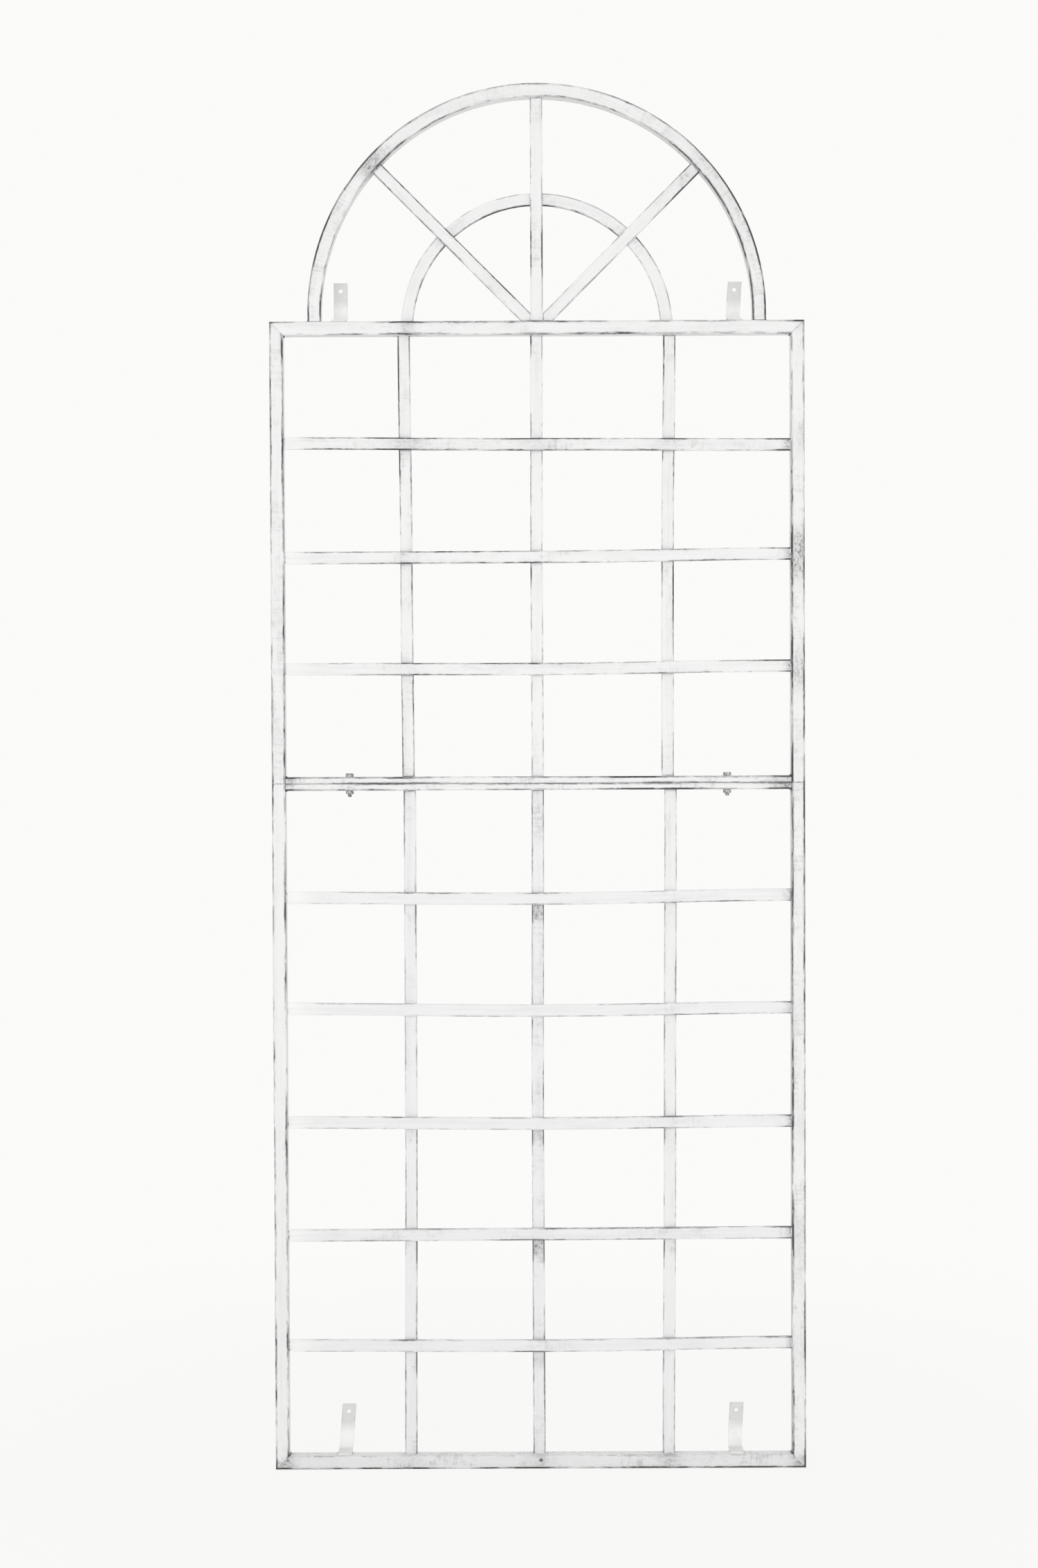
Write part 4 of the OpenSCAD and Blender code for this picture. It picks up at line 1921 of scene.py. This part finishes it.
@dataclass(frozen=True)
class Studio:
    """The plain white studio: floor, lamps, white surroundings and the camera.

    Attributes:
        floor_half: Half the side of the floor.
        floor_colour: Colour of the floor.
        floor_fade: Distances from the object between which the floor turns white.
        white: Colour of the white surroundings, as they are seen.
        surround: Brightness of the white surroundings as a light.
        floor_white: Share of plain white in the floor near the object, which softens the shadow.
        eye: Place of the camera.
        pitch: How far the camera looks down, in degrees.
        roll: How far the picture turns, in degrees.
        focal: Focal length in pixels of the full picture.
        picture_high: Height of the full picture in pixels.
        sensor: Height of the camera's sensor in millimetres.
        lamps: The lamps.
    """

    floor_half: float = 6.0
    floor_colour: Colour = (0.9, 0.9, 0.9)
    floor_fade: tuple[float, float] = (0.5, 1.6)
    white: Colour = (0.965, 0.961, 0.945)
    surround: float = 0.7
    floor_white: float = 0.89
    eye: tuple[float, float, float] = (-0.0281, -3.3508, 1.0597)
    pitch: float = 1.128
    roll: float = 0.225
    focal: float = 3347.0
    picture_high: float = 2265.0
    sensor: float = 36.0
    lamps: tuple[Lamp, ...] = (
        Lamp("key_lamp", (-1.6, -4.2, 2.6), 44.0),
        Lamp("fill_lamp", (0.9, -2.4, 0.2), 22.0),
        Lamp("back_lamp", (0.6, 3.4, 3.2), 26.0),
    )

    def build(self) -> None:
        """Sets up the studio."""
        self.floor()
        self.surroundings()
        for lamp in self.lamps:
            lamp.hang()
        self.camera()

    @staticmethod
    def seen(sheet: Sheet) -> Value:
        """1 for what the camera, a reflection or glass shows, and 0 for what lights the object.

        Args:
            sheet: The sheet that the nodes are laid out on.

        Returns:
            The value.
        """
        camera, glossy, through = (
            sheet.node("ShaderNodeLightPath", {}, {}, name)
            for name in ("Is Camera Ray", "Is Glossy Ray", "Is Transmission Ray")
        )
        return camera.larger(glossy).larger(through)

    def floor(self) -> None:
        """Lays a pale floor that keeps the shadow near the object and is white further out."""
        floor = Bench.start("studio_floor", bpy.ops.mesh.primitive_plane_add, size=2 * self.floor_half)
        made, sheet = new_material("pale_floor")
        place = sheet.node("ShaderNodeTexCoord", {}, {}, "Object")
        distance = sheet.node("ShaderNodeVectorMath", {"operation": "LENGTH"}, {0: place}, "Value")
        white_share = self.floor_white + (1 - self.floor_white) * distance.between(*self.floor_fade)
        matte = sheet.node("ShaderNodeBsdfDiffuse", {}, {"Color": (*self.floor_colour, 1.0)})
        white = sheet.node("ShaderNodeEmission", {}, {"Color": (*self.white, 1.0), "Strength": 1.0})
        shown = white_share * self.seen(sheet)
        mixed = sheet.node("ShaderNodeMixShader", {}, {0: shown, 1: matte, 2: white})
        sheet.node("ShaderNodeOutputMaterial", {}, {"Surface": mixed})
        floor.data.materials.append(made)
        floor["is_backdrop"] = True

    def surroundings(self) -> None:
        """Makes the surroundings white to the eye and softer as a light."""
        world = bpy.data.worlds.new("white_studio")
        world.use_nodes = True
        bpy.context.scene.world = world
        sheet = Sheet(world.node_tree)
        strength = self.surround + (1 - self.surround) * self.seen(sheet)
        sockets = {"Color": (*self.white, 1.0), "Strength": strength}
        light = sheet.node("ShaderNodeBackground", {}, sockets)
        sheet.node("ShaderNodeOutputWorld", {}, {"Surface": light})

    def camera(self) -> None:
        """Sets the camera where the photograph was taken from."""
        bpy.ops.object.select_all(action="DESELECT")
        bpy.ops.object.camera_add(location=self.eye)
        camera = bpy.context.object
        camera.name = "camera"
        camera.data.sensor_width = self.sensor
        camera.data.lens = self.focal / self.picture_high * self.sensor
        level_view = Matrix.Rotation(math.pi / 2 - math.radians(self.pitch), 4, "X")
        turn = level_view @ Matrix.Rotation(-math.radians(self.roll), 4, "Z")
        camera.matrix_world = Matrix.Translation(self.eye) @ turn
        bpy.context.scene.camera = camera


def stocks() -> tuple[Stock, Stock, Stock]:
    """The square tube, the low tube and the flat bar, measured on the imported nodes.

    Returns:
        The three stocks, in that order.
    """
    nodes = ("lower_left_stile", "upper_meeting_rail", "lower_cross_bar_1")
    stile, meeting_rail, cross_bar = (size_of(node) for node in nodes)
    tube = Stock(stile.x, stile.y, corner=2 * MM, wall=1.5 * MM, band=1.8 * MM)
    low_tube = Stock(meeting_rail.z, stile.y, corner=2 * MM, wall=1.5 * MM, band=1.5 * MM)
    bar = Stock(cross_bar.z, cross_bar.y, corner=0.8 * MM, wall=None, band=1.9 * MM)
    return tube, low_tube, bar


def main() -> None:
    """Builds the object and its studio."""
    logging.basicConfig(level=logging.INFO, format="%(name)s: %(message)s")
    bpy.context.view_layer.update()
    bpy.context.scene.view_settings.view_transform = "Standard"

    tube, low_tube, bar = stocks()
    shop = Workshop()
    for section, look in ((Section.UPPER, UPPER_LOOK), (Section.LOWER, LOWER_LOOK)):
        SectionFrame(section, look, tube, low_tube).build(shop)
        Lattice(section, look, bar).build(shop)
        for side, lean in zip(Side, look.bracket_leans):
            WallBracket(section, side, lean).build(shop)
    Fanlight(tube, bar).build(shop)
    for side in Side:
        JointFastener(side).build(shop)
    Studio().build()


if __name__ == "__main__":
    main()
